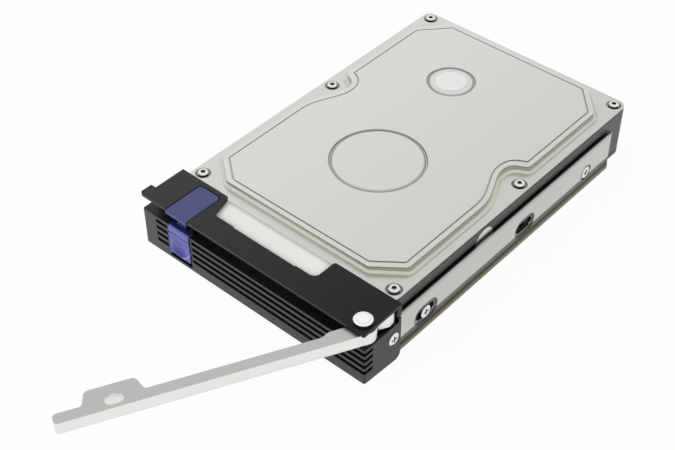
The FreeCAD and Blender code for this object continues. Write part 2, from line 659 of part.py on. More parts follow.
def mirror(body, name, features):
    """Repeat features on the other side of the middle plane."""
    feature = body.newObject("PartDesign::Mirrored", name)
    feature.Originals = features
    feature.MirrorPlane = (origin_feature(body, "YZ_Plane"), [""])
    body.Tip = feature
    return feature


def row(body, name, features, role, length, count):
    """Repeat features along an axis; length runs from the first to the last."""
    feature = body.newObject("PartDesign::LinearPattern", name)
    feature.Originals = features
    feature.Direction = (origin_feature(body, role), [""])
    feature.Length = as_size(length).value
    bind(feature, "Length", length)
    feature.Occurrences = count
    body.Tip = feature
    return feature


def put(thing, x, y, z, axis=None, angle=None):
    """Place a sub-part, its place bound to the sheet."""
    x, y, z = as_size(x), as_size(y), as_size(z)
    turn = Rotation()
    if axis is not None:
        turn = Rotation(axis, as_size(angle).value)
    thing.Placement = Placement(Vector(x.value, y.value, z.value), turn)
    bind(thing, "Placement.Base.x", x)
    bind(thing, "Placement.Base.y", y)
    bind(thing, "Placement.Base.z", z)
    if isinstance(angle, Size):
        bind(thing, "Placement.Rotation.Angle", angle)


def upright(edge, x=None, y=None, near=0.05):
    """True for a straight edge along Z that stands at x, y."""
    if len(edge.Vertexes) != 2:
        return False
    a, b = edge.Vertexes[0].Point, edge.Vertexes[1].Point
    if abs(a.x - b.x) > 1e-4 or abs(a.y - b.y) > 1e-4:
        return False
    return (x is None or abs(abs(a.x) - x) < near) and (y is None or abs(a.y - y) < near)


def level(edge, along, **places):
    """True for a straight edge along X or Y at the named places."""
    if len(edge.Vertexes) != 2:
        return False
    a, b = edge.Vertexes[0].Point, edge.Vertexes[1].Point
    for name in "xyz":
        if name == along:
            continue
        if abs(getattr(a, name) - getattr(b, name)) > 1e-4:
            return False
        want = places.get(name)
        if want is not None and abs(abs(getattr(a, name)) - want) > 0.02:
            return False
    return abs(getattr(a, along) - getattr(b, along)) > 1e-3


def at_height(edge, z):
    """True for an edge that lies level at height z."""
    box = edge.BoundBox
    return abs(box.ZMin - z) < 0.01 and abs(box.ZMax - z) < 0.01


# ------------------------------------------------------------------ pieces
def make_tray():
    body = new_body("tray")
    low_out = wall_out - band_inset
    low_in = low_out - steel
    start = bezel_depth + bezel_fit
    outline = [
        (-wall_out, wall_height), (-wall_out, band_height), (-low_out, band_fold),
        (-wall_out, 0, bend_in + steel), (wall_out, 0, bend_in + steel),
        (low_out, band_fold), (wall_out, band_height), (wall_out, wall_height),
        (wall_in, wall_height), (wall_in, band_height), (low_in, band_fold),
        (wall_in, steel, bend_in), (-wall_in, steel, bend_in),
        (-low_in, band_fold), (-wall_in, band_height), (-wall_in, wall_height)]
    pad(body, "Channel", "Y", start, wall_end + band_extra, ("outline", outline))
    edge_z = band_height - band_step
    pocket(body, "WallEnd", "X", -wall_out - 1, wall_out + 1,
           box_loop(wall_end, wall_end + band_extra + 1, edge_z, wall_height + 1))
    # the floor is open under the drive between three cross bars
    window_x = wall_out - window_side
    pocket(body, "Windows", "Z", -1, steel + 1,
           box_loop(-window_x, window_x, drive_front + window_front,
                    mid_hole_y - window_bar / 2, window_r),
           box_loop(-window_x, window_x, mid_hole_y + window_bar / 2,
                    wall_end - window_rear, window_r))
    # ears that reach into the bezel and take its side screws
    ear_low = band_height + ear_gap
    ear = pad(body, "Ear", "X", wall_in, wall_out,
              box_loop(ear_front, start + 0.5, ear_low, cavity_top - ear_gap))
    mirror(body, "EarPair", [ear])
    pocket(body, "EarHoles", "X", -wall_out - 1, wall_out + 1,
           ("circle", ear_y, ear_z, ear_shank_r + bezel_fit))
    # coined seats: the sheet is pressed in until it meets the drive
    seats = [("obround", front_hole_y, side_axis, front_recess_long - 2 * steel,
              recess_high - 2 * steel),
             ("obround", mid_hole_y, side_axis, mid_recess_long - 2 * steel,
              recess_high - 2 * steel),
             ("circle", rear_hole_y, side_axis, rear_recess_r)]
    inner = pad(body, "SeatBacks", "X", half_drive, wall_in + 0.1, *seats)
    mirror(body, "SeatBackPair", [inner])
    dents = [("obround", front_hole_y, side_axis, front_recess_long, recess_high),
             ("obround", mid_hole_y, side_axis, mid_recess_long, recess_high),
             ("circle", rear_hole_y, side_axis, rear_recess_r)]
    dent = pocket(body, "Seats", "X", wall_out - side_gap, wall_out + 1, *dents)
    mirror(body, "SeatPair", [dent])
    pocket(body, "SeatSlots", "X", -wall_out - 1, wall_out + 1,
           ("obround", front_hole_y, side_axis, slot_long, slot_high),
           ("obround", mid_hole_y, side_axis, slot_long, slot_high),
           ("circle", rear_hole_y, side_axis, rear_slot_r))
    return body


def make_bezel():
    body = new_body("bezel")
    pad(body, "Block", "Z", bezel_low_back, bezel_top,
        ("outline", [(-bezel_out, 0, bezel_edge), (bezel_out, 0, bezel_edge),
                     (bezel_out, bezel_depth), (-bezel_out, bezel_depth)]))
    # the underside rises towards the front
    pocket(body, "Underside", "X", -bezel_out - 1, bezel_out + 1,
           ("outline", [(-1, bezel_low_back - 1), (bezel_depth, bezel_low_back - 1),
                        (bezel_depth, bezel_low_back), (0, bezel_low_front),
                        (-1, bezel_low_front)]))
    round_edges(body, "Heel", bezel_heel,
                lambda e: level(e, "x", y=bezel_depth.value, z=bezel_low_back.value))
    # hollow behind the front wall, with the pivot pillar left standing
    pillar_left = bezel_out - pillar_wide
    pocket(body, "Hollow", "Y", bezel_wall, bezel_depth + 1,
           box_loop(-bezel_in, pillar_left, cavity_low, cavity_top))
    pocket(body, "HollowRight", "Y", pillar_deep, bezel_depth + 1,
           box_loop(pillar_left - 1, bezel_in, cavity_low, cavity_top))
    # latch well behind the front wall
    well_left = wing_left - well_gap
    well_right = wing_right + well_gap
    pad(body, "Well", "Z", cavity_low - 0.2, cavity_top + 0.2,
        ("outline", [(well_left - well_wall, bezel_wall - 0.2),
                     (well_left - well_wall, well_back + well_wall),
                     (well_right + well_wall, well_back + well_wall),
                     (well_right + well_wall, bezel_wall - 0.2),
                     (well_right, bezel_wall - 0.2), (well_right, well_back),
                     (well_left, well_back), (well_left, bezel_wall - 0.2)]))
    # four slots that run round the right front corner
    low = bezel_top - vent_top - vent_high - vent_pitch * (vent_count - 1)
    left_end = -bezel_out + vent_start
    slot = pocket(body, "Vent", "Z", low, low + vent_high,
                  box_loop(left_end, channel_left - vent_rib, -1, bezel_wall + 0.05),
                  ("outline", [(channel_right + vent_rib, -1), (bezel_out + 1, -1),
                               (bezel_out + 1, vent_side),
                               (bezel_out - vent_deep, vent_side),
                               (bezel_out - vent_deep, vent_deep),
                               (pillar_left, vent_deep),
                               (pillar_left, bezel_wall + 0.05),
                               (channel_right + vent_rib, bezel_wall + 0.05)]))
    row(body, "Vents", [slot], "Z_Axis", vent_pitch * (vent_count - 1), vent_count)
    # channel for the finger pad, open at the top for the catch
    pocket(body, "PadChannel", "Y", -1, bezel_wall + wing_gap + wing_thick,
           box_loop(channel_left, channel_right, channel_low, bezel_top + 1))
    pocket(body, "LatchMouth", "Z", cavity_top - 0.1, bezel_top + 1,
           box_loop(channel_left, channel_right, -1, well_back))
    # pin hole in the pillar
    pocket(body, "PinHole", "Z", bezel_top - pin_foot, bezel_top + 1,
           ("circle", pivot_x, pivot_back, pin_foot_r))
    # side screws
    pocket(body, "ScrewHoles", "X", -bezel_out - 1, bezel_out + 1,
           ("circle", ear_y, ear_z, ear_shank_r + bezel_fit))
    seat = pocket(body, "ScrewSeat", "X", bezel_out - ear_seat, bezel_out + 1,
                  ("circle", ear_y, ear_z, ear_head_r + bezel_fit))
    mirror(body, "ScrewSeats", [seat])
    # holes in the roof for the plate's rivets and the slab's pegs
    rivet_x = -bezel_out + plate_left + rivet_run
    web_y = (web_front + slab_back) / 2
    web_x = slab_left + web_wide / 2
    pocket(body, "RoofHoles", "Z", cavity_top - 1, bezel_top + 1,
           ("circle", rivet_x, rivet_first, rivet_r),
           ("circle", rivet_x, rivet_first + rivet_step, rivet_r),
           ("circle", web_x, web_y - web_peg_step / 2, web_r),
           ("circle", web_x, web_y + web_peg_step / 2, web_r))
    # lug under the plate's flap
    pad(body, "Lug", "Z", bezel_top - 0.1, bezel_top + lug_high,
        box_loop(bezel_out - lug_wide, bezel_out, bezel_depth - lug_long, bezel_depth))
    # the roof is open behind, so that the drive's label can be read
    open_left = slab_left + web_wide + roof_open_left
    open_right = notch_right_x + roof_open_right
    pocket(body, "RoofOpening", "Z", cavity_top - 0.5, bezel_top + 1,
           ("outline", [(open_left, bezel_depth - roof_open_deep, roof_open_r),
                        (open_right, bezel_depth - roof_open_deep, roof_open_r),
                        (open_right, bezel_depth + 1),
                        (open_left, bezel_depth + 1)]))
    return body


def make_top_plate():
    body = new_body("top_plate")
    fold_x = -bezel_out + plate_left
    front = -plate_front
    notch_y = bezel_depth - notch_deep
    slot_left = slab_left - slab_gap
    slot_right = slab_right + slab_gap
    notch_left_x = slot_right + notch_wall
    tab_x = -bezel_out + tab_in
    outline = [
        (bezel_out, front, 0.8), (bezel_out, bezel_depth, 0.8),
        (notch_right_x, bezel_depth, 1.2), (notch_right_x, notch_y, notch_r),
        (notch_step_x, notch_y), (notch_step_x, notch_y - notch_step),
        (-notch_step_x, notch_y - notch_step), (-notch_step_x, notch_y),
        (notch_left_x + notch_lean, notch_y, notch_r), (notch_left_x, bezel_depth, 1.2),
        (fold_x, bezel_depth), (fold_x, tab_back), (tab_x, tab_back, 0.6),
        (tab_x, front, plate_r),
        (slot_left, front), (slot_left, slab_back + slab_gap, slab_r + slab_gap),
        (slot_right, slab_back + slab_gap, slab_r + slab_gap), (slot_right, front)]
    pad(body, "Plate", "Z", plate_low, plate_top, ("outline", outline))
    # left fold, its foot on the bezel, and the flap at the right rear corner
    fold_start = tab_back + fold_gap
    pad(body, "Fold", "Y", fold_start, bezel_depth,
        ("outline", [(fold_x, plate_top), (fold_x, bezel_top),
                     (fold_x + fold_wide, bezel_top),
                     (fold_x + fold_wide, bezel_top + plate_thick),
                     (fold_x + plate_thick, bezel_top + plate_thick),
                     (fold_x + plate_thick, plate_top)]))
    pad(body, "Flap", "X", bezel_out - plate_thick, bezel_out,
        ("outline", [(bezel_depth - flap_long, plate_low - flap_high, flap_r),
                     (bezel_depth, plate_low - flap_high),
                     (bezel_depth, plate_low + 0.1),
                     (bezel_depth - flap_long, plate_low + 0.1)]))
    rivet_x = fold_x + rivet_run
    pocket(body, "RivetHoles", "Z", bezel_top - 1, bezel_top + plate_thick + 1,
           ("circle", rivet_x, rivet_first, rivet_r),
           ("circle", rivet_x, rivet_first + rivet_step, rivet_r))
    pocket(body, "PinHole", "Z", plate_low - 1, plate_top + 1,
           ("circle", pivot_x, pivot_back, pin_r + pin_fit))
    return body


def make_latch_cover():
    body = new_body("latch_cover")
    left = slab_left
    right = slab_right
    top = plate_top + slab_proud
    low = lever_top + 0.15
    pad(body, "Slab", "Z", low, top,
        ("outline", [(left, -slab_front, 0.6), (right, -slab_front, 0.6),
                     (right, slab_back, slab_r), (left, slab_back, slab_r)]))
    pad(body, "Web", "Z", bezel_top, low + 0.1,
        ("outline", [(left, web_front), (left + web_wide, web_front),
                     (left + web_wide, slab_back), (left, slab_back, slab_r)]))
    web_y = (web_front + slab_back) / 2
    web_x = left + web_wide / 2
    pad(body, "Pegs", "Z", cavity_top, bezel_top + 0.1,
        ("circle", web_x, web_y - web_peg_step / 2, web_r),
        ("circle", web_x, web_y + web_peg_step / 2, web_r))
    round_edges(body, "FrontEdge", 0.5,
                lambda e: level(e, "x", y=slab_front.value, z=top.value))
    return body


def make_release_latch():
    body = new_body("release_latch")
    stem_left = pad_left + stem_side
    stem_right = pad_right - stem_side
    ridge = latch_top - pad_ridge_top
    second = ridge - pad_ridge_step
    depth = -pad_proud + pad_ridge_deep
    wing_front = bezel_wall + wing_gap
    profile = [
        (-pad_proud, pad_low, 0.5), (-pad_proud, second - pad_ridge),
        (depth, second - pad_ridge / 2), (-pad_proud, second),
        (-pad_proud, ridge - pad_ridge), (depth, ridge - pad_ridge / 2),
        (-pad_proud, ridge), (-pad_proud, latch_top, 1.0),
        (wing_front + 0.1, latch_top), (wing_front + 0.1, pad_low)]
    pad(body, "Pad", "X", pad_left, pad_right, ("outline", profile))
    pad(body, "Stem", "X", stem_left, stem_right,
        box_loop(wing_front, stem_deep, pad_low + stem_low, latch_top))
    pad(body, "Wings", "X", wing_left, wing_right,
        box_loop(wing_front, wing_front + wing_thick, pad_low + wing_low,
                 cavity_top - stop_gap))
    # catch peg with a ramp that the closing lever rides over
    eye_mid = pivot_back - bar_front + eye_y
    peg_x = pivot_x - eye_x
    front = eye_mid - peg_deep / 2
    back = eye_mid + peg_deep / 2
    pad(body, "Peg", "X", peg_x - peg_long / 2, peg_x + peg_long / 2,
        ("outline", [(front, latch_top - 0.1), (front, latch_top + peg_high - peg_ramp),
                     (front + peg_ramp, latch_top + peg_high),
                     (back, latch_top + peg_high, 0.4), (back, latch_top - 0.1)]))
    # finger scoop: a shallow dish that leaves a raised lower lip
    sketch = body.newObject("Sketcher::SketchObject", "ScoopSketch")
    sketch.AttachmentSupport = [(origin_feature(body, "YZ_Plane"), "")]
    sketch.MapMode = "FlatFace"
    sketch.AttachmentOffset = Placement(Vector(0, 0, -latch_x.value), Rotation())
    bind(sketch, "AttachmentOffset.Base.z", -latch_x)
    middle = as_size(-pad_proud - scoop_r + scoop_deep)
    height = pad_low + scoop_high
    centre = Vector(middle.value, height.value, 0)
    reach = scoop_r.value
    arc = Part.ArcOfCircle(Part.Circle(centre, Vector(0, 0, 1), reach),
                           -math.pi / 2, math.pi / 2)
    one = sketch.addGeometry(arc, False)
    top = centre + Vector(0, reach, 0)
    bottom = centre - Vector(0, reach, 0)
    two = sketch.addGeometry(Part.LineSegment(top, bottom), False)
    sketch.addConstraint(Sketcher.Constraint("Coincident", one, 2, two, 1))
    sketch.addConstraint(Sketcher.Constraint("Coincident", one, 1, two, 2))
    sketch.addConstraint(Sketcher.Constraint("Vertical", two))
    hold(sketch, one, 3, middle, height)
    sketch.addConstraint(Sketcher.Constraint("PointOnObject", one, 3, two))
    rule = sketch.addConstraint(Sketcher.Constraint("Radius", one, reach))
    bind(sketch, "Constraints[%d]" % rule, scoop_r)
    doc.recompute()
    before = body.Tip.Shape.Volume
    scoop = body.newObject("PartDesign::Groove", "Scoop")
    scoop.Profile = sketch
    scoop.ReferenceAxis = (sketch, ["Edge2"])
    scoop.Angle = 360
    body.Tip = scoop
    doc.recompute()
    if not scoop.Shape.Volume < before - 1e-6:
        raise RuntimeError("the scoop cuts nothing")
    return body


def make_latch_spring():
    """Compression spring between the well's floor and the stem."""
    length = pad_low + stem_low - cavity_low
    rise = length - wire_r * 2
    path = doc.addObject("Part::Helix", "SpringPath")
    path.Pitch = (rise / spring_turns).value
    path.Height = rise.value
    path.Radius = spring_r.value
    bind(path, "Pitch", rise / spring_turns)
    bind(path, "Height", rise)
    bind(path, "Radius", spring_r)
    wire = doc.addObject("Part::Circle", "SpringWire")
    wire.Radius = wire_r.value
    bind(wire, "Radius", wire_r)
    wire.Placement = Placement(Vector(spring_r.value, 0, 0), Rotation(Vector(1, 0, 0), 90))
    bind(wire, "Placement.Base.x", spring_r)
    coil = doc.addObject("Part::Sweep", "latch_spring")
    coil.Label = "latch_spring"
    coil.Sections = [wire]
    coil.Spine = (path, ["Edge1"])
    coil.Solid = True
    coil.Frenet = True
    put(coil, -latch_x, (bezel_wall + wing_gap + wing_thick + stem_deep) / 2,
        cavity_low + wire_r)
    return coil


def make_lever():
    """Drawn as it lies when closed, then turned open about its pivot."""
    body = new_body("lever")
    front = -bar_front
    back = front + bar_wide
    root = front + root_wide
    top = front + tab_high
    bar = [
        (-lever_tip, front, tip_r), (0, front), (0, root), (-root_long, root, root_r),
        (-root_long - root_r, back, root_r), (tab_in_low - eye_x, back, tab_root_r),
        (tab_in_top - eye_x, top, tab_r), (-tab_out_top - eye_x, top, tab_r),
        (-tab_out - eye_x, back, tab_root_r), (-lever_tip, back, tip_r)]
    pad(body, "Bar", "Z", 0, lever_thick, ("outline", bar))
    pad(body, "Boss", "Z", 0, lever_thick, ("circle", 0, 0, boss_r))
    neck = finger_neck
    pad(body, "Finger", "Z", 0, lever_thick,
        ("outline", [(0, finger_root), (neck - finger_step, finger_root),
                     (neck, finger_front), (finger_nose, finger_front, finger_nose_r),
                     (finger_long, finger_front + finger_drop, finger_end_r),
                     (finger_long - finger_rake, finger_back, finger_end_r),
                     (0, finger_back)]))
    pocket(body, "Eye", "Z", -1, lever_thick + 1,
           ("obround", -eye_x, front + eye_y, eye_long, eye_wide))
    pocket(body, "Bore", "Z", -1, lever_thick + 1, ("circle", 0, 0, pin_r + pin_fit))
    put(body, pivot_x, pivot_back, lever_low, Vector(0, 0, 1), lever_open)
    return body


def make_lever_pin():
    body = new_body("lever_pin")
    head = plate_top - bezel_top
    rise = head + pin_collar
    revolve(body, "Pin", 0, 0,
            [(0, -pin_foot), (pin_foot_r, -pin_foot), (pin_foot_r, 0), (pin_r, 0),
             (pin_r, head), (pin_collar_r, head), (pin_collar_r, rise), (pin_head_r, rise),
             (pin_head_r, rise + pin_head * 0.6), (pin_head_r - 0.5, rise + pin_head),
             (0, rise + pin_head)])
    put(body, pivot_x, pivot_back, bezel_top)
    return body


def make_ring(label, low, high, inner, outer):
    body = new_body(label)
    pad(body, "Ring", "Z", 0, high - low, ("circle", 0, 0, outer), ("circle", 0, 0, inner))
    put(body, pivot_x, pivot_back, low)
    return body


def make_screw_group(label, solid, places):
    """Copies of one screw, each turned so that its head faces outwards."""
    group = doc.addObject("Part::Feature", label)
    group.Label = label
    copies = []
    for x, y, z, axis, angle in places:
        copy = solid.copy()
        copy.Placement = Placement(Vector(x, y, z), Rotation(axis, angle))
        copies.append(copy)
    group.Shape = Part.makeCompound(copies)
    return group


def cross_head(head_r, head_high, edge, shank_r, shank_long):
    hr, hh = head_r.value, head_high.value
    sr, sl = shank_r.value, shank_long.value
    points = [(0, -sl), (sr, -sl), (sr, 0), (hr, 0), (hr, hh - edge),
              (hr - edge * 1.5, hh), (0, hh), (0, -sl)]
    face = Part.Face(Part.makePolygon([Vector(r, 0, h) for r, h in points]))
    solid = face.revolve(Vector(0, 0, 0), Vector(0, 0, 1), 360)
    span, wide = cross_span.value, cross_wide.value
    deep = cross_deep.value
    one = Part.makeBox(span, wide, deep + 1, Vector(-span / 2, -wide / 2, hh - deep))
    two = Part.makeBox(wide, span, deep + 1, Vector(-wide / 2, -span / 2, hh - deep))
    return solid.cut(one.fuse(two))


def star_head(head_r, head_high, edge, shank_r, shank_long, socket_r, deep):
    hr, hh = head_r.value, head_high.value
    sr, sl = shank_r.value, shank_long.value
    points = [(0, -sl), (sr, -sl), (sr, 0), (hr, 0), (hr, hh - edge),
              (hr - edge, hh), (0, hh), (0, -sl)]
    face = Part.Face(Part.makePolygon([Vector(r, 0, h) for r, h in points]))
    solid = face.revolve(Vector(0, 0, 0), Vector(0, 0, 1), 360)
    corners = []
    for i in range(13):
        reach = socket_r if i % 2 == 0 else socket_r * 0.72
        turn = math.radians(30 * i)
        corners.append(Vector(reach * math.cos(turn), reach * math.sin(turn), hh - deep))
    star = Part.Face(Part.makePolygon(corners)).extrude(Vector(0, 0, deep + 1))
    return solid.cut(star)


RIGHT = (Vector(0, 1, 0), 90)
LEFT = (Vector(0, 1, 0), -90)
UP = (Vector(0, 0, 1), 0)
DOWN = (Vector(1, 0, 0), 180)


def make_drive_screws():
    seat = (wall_out - side_gap).value
    screw = cross_head(wafer_r, side_gap, 0.15, wafer_shank_r, wafer_shank)
    places = []
    for y in (front_hole_y.value, rear_hole_y.value):
        places.append((seat, y, side_axis.value) + RIGHT)
        places.append((-seat, y, side_axis.value) + LEFT)
    return make_screw_group("drive_screws", screw, places)


def make_bezel_screws():
    seat = (bezel_out - ear_seat).value
    long = bezel_side - ear_seat + bezel_fit + steel + ear_shank_past
    screw = cross_head(ear_head_r, ear_head_high, 0.3, ear_shank_r, long)
    places = [(seat, ear_y.value, ear_z.value) + RIGHT,
              (-seat, ear_y.value, ear_z.value) + LEFT]
    return make_screw_group("bezel_screws", screw, places)


def screw_places():
    places = []
    for y in (drive_back - screw_rear, drive_back - screw_mid, drive_front + screw_front):
        for side in (1, -1):
            places.append((screw_x * side, y))
    return places


def make_cover_screws():
    seat = (rim_top - cover_seat_deep).value
    screw = star_head(cover_head_r, cover_head_high, 0.35, cover_shank_r, cover_shank,
                      drive_socket_r.value, 0.6)
    places = [(x.value, y.value, seat) + UP for x, y in screw_places()]
    return make_screw_group("cover_screws", screw, places)


def make_plate_rivets():
    body = new_body("plate_rivets")
    x = -bezel_out + plate_left + rivet_run
    seat = bezel_top + plate_thick
    for number, y in enumerate((rivet_first, rivet_first + rivet_step), 1):
        pad(body, "Shank%d" % number, "Z", cavity_top, seat + 0.1, ("circle", x, y, rivet_r))
        pad(body, "Head%d" % number, "Z", seat, seat + rivet_head,
            ("circle", x, y, rivet_head_r))
    return body


def board_screw_places():
    left = -half_drive + board_inset
    right = half_drive - board_inset
    back = drive_back - board_rear
    front = drive_back - board_front + board_screw_in
    rear = back - board_screw_back
    left = left + board_screw_in
    right = right - board_screw_in
    return [(left, front), (right, front), (left, rear), (right, rear)]


def make_drive_base():
    body = new_body("drive_base")
    pad(body, "Casting", "Z", drive_low, base_top,
        box_loop(-half_drive, half_drive, drive_front, drive_back, cover_corner))
    # seam low on the sides and the rear
    seam = drive_low + seam_high
    inset = seam_deep
    pocket(body, "Seam", "Z", seam, seam + seam_wide,
           box_loop(-half_drive - 2, half_drive + 2, drive_front - 2, drive_back + 2),
           box_loop(-half_drive + inset, half_drive - inset, drive_front + inset,
                    drive_back - inset, cover_corner))
    # threaded side holes
    hole = pocket(body, "SideHoles", "X", half_drive - side_hole_deep, half_drive + 1,
                  ("circle", front_hole_y, side_axis, side_hole_r),
                  ("circle", mid_hole_y, side_axis, side_hole_r),
                  ("circle", rear_hole_y, side_axis, side_hole_r))
    mirror(body, "SideHolePair", [hole])
    # cover screw holes
    pocket(body, "CoverScrewHoles", "Z", rim_top - cover_seat_deep - cover_shank,
           base_top + 1,
           *[("circle", x, y, cover_shank_r) for x, y in screw_places()])
    # bottom holes, board recess, hub recess and plug cut-out
    under_x = half_drive - under_hole_side
    under_one = drive_back - under_hole_rear
    under_two = under_one - under_hole_step
    under = pocket(body, "UnderHoles", "Z", drive_low - 1, drive_low + under_hole_deep,
                   ("circle", under_x, under_one, side_hole_r),
                   ("circle", under_x, under_two, side_hole_r))
    mirror(body, "UnderHolePair", [under])
    left = -half_drive + board_inset - board_gap
    right = half_drive - board_inset + board_gap
    front = drive_back - board_front - board_gap
    pocket(body, "BoardRecess", "Z", drive_low - 1, drive_low + board_deep,
           box_loop(left, right, front, drive_back + 1))
    pocket(body, "HubRecess", "Z", drive_low - 1, drive_low + board_deep,
           ("circle", 0, drive_back - big_ring_y, hub_r + hub_gap))
    plug_low_y = drive_back - plug_deep
    pocket(body, "PlugBay", "Z", drive_low - 1, drive_low + board_deep + plug_high,
           box_loop(plug_x - plug_length / 2 - board_gap, plug_x + plug_length / 2 + board_gap,
                    plug_low_y, drive_back + 1))
    pocket(body, "BoardScrewHoles", "Z", drive_low - 1,
           drive_low + board_deep - board_thick + board_shank,
           *[("circle", x, y, board_shank_r) for x, y in board_screw_places()])
    return body


def plateau_outline(out, across=None):
    """The plateau's outline moved outwards, by across on the sides."""
    across = out if across is None else across
    half = plateau_half + across
    rear = drive_back - plateau_rear + out
    front = drive_front + plateau_front - out
    lean = out * cut_lean
    slope = out * bay_lean
    corner = plateau_r + out
    right = [
        (plateau_half - rear_cut_x + lean, rear, corner),
        (half, drive_back - plateau_rear - rear_cut_y + lean, corner),
        (half, drive_back - bay_rear - out, corner),
        (half - bay_depth, drive_back - bay_neck - out, bay_neck_r - out),
        (half - bay_depth, drive_back - bay_floor_end + slope, bay_floor_r - out),
        (half, drive_back - bay_front + slope, bay_front_r + out),
        (half, drive_front + plateau_front + front_cut_y - lean, corner),
        (plateau_half - front_cut_x + lean, front, corner)]
    left = [(-x, y, r) for x, y, r in reversed(right)]
    return ("outline", right + left)


def ring_groove(body, name, x, y, top, radius, shoulder):
    """A round pressed groove with a steep outer wall and a rounded inner one."""
    doc.recompute()
    before = body.Tip.Shape.Volume
    sketch = new_sketch(body, name + "Sketch", "Y", y)
    x = as_size(x)
    sketch.AttachmentOffset = Placement(
        Vector(x.value, 0, -as_size(y).value), Rotation())
    bind(sketch, "AttachmentOffset.Base.x", x)
    floor = top - ring_deep
    foot = radius - ring_wall
    inner = foot - ring_floor
    draw_outline(sketch, [(radius, top), (radius, top + 1),
                          (inner - ring_rise - shoulder, top + 1),
                          (inner - ring_rise - shoulder, top),
                          (inner - ring_rise, top, shoulder),
                          (inner, floor), (foot, floor)])
    feature = body.newObject("PartDesign::Groove", name)
    feature.Profile = sketch
    feature.ReferenceAxis = (sketch, ["V_Axis"])
    feature.Angle = 360
    body.Tip = feature
    doc.recompute()
    if not feature.Shape.Volume < before - 1e-6:
        raise RuntimeError("%s cuts nothing" % name)
    return feature


def make_drive_cover():
    body = new_body("drive_cover")
    pad(body, "Rim", "Z", rim_top - cover_thick, rim_top,
        box_loop(-half_drive, half_drive, drive_front, drive_back, cover_corner))
    # stepped rim of the plateau
    pad(body, "Step", "Z", rim_top - 0.1, rim_top + step_rise,
        plateau_outline(foot_out, foot_side))
    step_top = (rim_top + step_rise).value
    bevel_edges(body, "StepSlope", step_width, lambda e: at_height(e, step_top))
    pad(body, "Bead", "Z", rim_top, rim_top + bead_rise, plateau_outline(bead_out))
    pocket(body, "PlateauTop", "Z", rim_top + plateau_rise, rim_top + bead_rise + 1,
           plateau_outline(bead_in))
    pocket(body, "FineLine", "Z", rim_top + plateau_rise - line_deep,
           rim_top + plateau_rise + 0.5, plateau_outline(bead_in),
           plateau_outline(bead_in - line_wide))
    bead_top = (rim_top + bead_rise).value
    round_edges(body, "BeadRound", bead_round, lambda e: at_height(e, bead_top))
    top = rim_top + plateau_rise
    ring_y = drive_back - big_ring_y
    small_y = drive_back - small_ring_y
    ring_groove(body, "SpindleRing", 0, ring_y, top, big_ring_r, big_ring_round)
    ring_groove(body, "SmallRing", -small_ring_x, small_y, top, small_ring_r,
                small_ring_round)
    places = screw_places()
    pocket(body, "ScrewSeats", "Z", rim_top - cover_seat_deep, rim_top + 4,
           *[("circle", x, y, cover_seat_r) for x, y in places])
    rim = rim_top.value
    seat_r = cover_seat_r.value
    bevel_edges(body, "SeatSlopes", cover_seat_slope,
                lambda e: at_height(e, rim) and len(e.Vertexes) == 1
                and abs(e.Curve.Radius - seat_r) < 0.01)
    pocket(body, "ScrewHoles", "Z", rim_top - cover_thick - 1, rim_top,
           *[("circle", x, y, cover_shank_r) for x, y in places])
    return body


def make_sheet(label, low, high, *shapes):
    body = new_body(label)
    pad(body, "Sheet", "Z", low, high, *shapes)
    return body


def make_cover_gasket():
    inset = gasket_inset
    return make_sheet("cover_gasket", base_top, base_top + gasket_thick,
                      box_loop(-half_drive + inset, half_drive - inset,
                               drive_front + inset, drive_back - inset, cover_corner),
                      *[("circle", x, y, cover_shank_r) for x, y in screw_places()])


def make_cover_disc():
    top = rim_top + plateau_rise
    return make_sheet("cover_disc", top, top + foil,
                      ("circle", -small_ring_x, drive_back - small_ring_y, disc_r))


def make_side_seal():
    body = new_body("side_seal")
    pad(body, "Foil", "X", half_drive, half_drive + foil,
        ("circle", drive_back - big_ring_y, rim_top - seal_drop, seal_r))
    return body


def make_drive_label():
    body = new_body("drive_label")
    pad(body, "Paper", "Y", drive_front - foil, drive_front,
        box_loop(-half_drive + label_left, half_drive - label_right,
                 drive_low + label_low, base_top + gasket_thick))
    return body


def make_circuit_board():
    body = new_body("circuit_board")
    left = -half_drive + board_inset
    right = half_drive - board_inset
    front = drive_back - board_front
    back = drive_back - board_rear
    low = drive_low + board_deep - board_thick
    pad(body, "Board", "Z", low, low + board_thick,
        ("outline", [(left, front), (right, front), (right, back), (left, back)]))
    hub_y = drive_back - big_ring_y
    pocket(body, "HubHole", "Z", low - 1, low + board_thick + 1,
           ("circle", 0, hub_y, hub_r + hub_gap))
    pocket(body, "ScrewHoles", "Z", low - 1, low + board_thick + 1,
           *[("circle", x, y, board_shank_r) for x, y in board_screw_places()])
    pocket(body, "PlugNotch", "Z", low - 1, low + board_thick + 1,
           box_loop(plug_x - plug_length / 2 - board_gap, plug_x + plug_length / 2 + board_gap,
                    drive_back - plug_deep, drive_back + 1))
    return body


def make_board_screws():
    low = (drive_low + board_deep - board_thick).value
    screw = cross_head(board_screw_r, board_screw_high, 0.15, board_shank_r, board_shank)
    places = [(x.value, y.value, low) + DOWN for x, y in board_screw_places()]
    return make_screw_group("board_screws", screw, places)


def make_motor_hub():
    body = new_body("motor_hub")
    rise = drive_low + board_deep
    face = drive_low + hub_sunk
    hub_y = drive_back - big_ring_y
    pad(body, "Hub", "Z", face, rise, ("circle", 0, hub_y, hub_r))
    pocket(body, "HubRing", "Z", face - 1, face + hub_ring_deep,
           ("circle", 0, hub_y, hub_ring_out), ("circle", 0, hub_y, hub_ring_in))
    return body


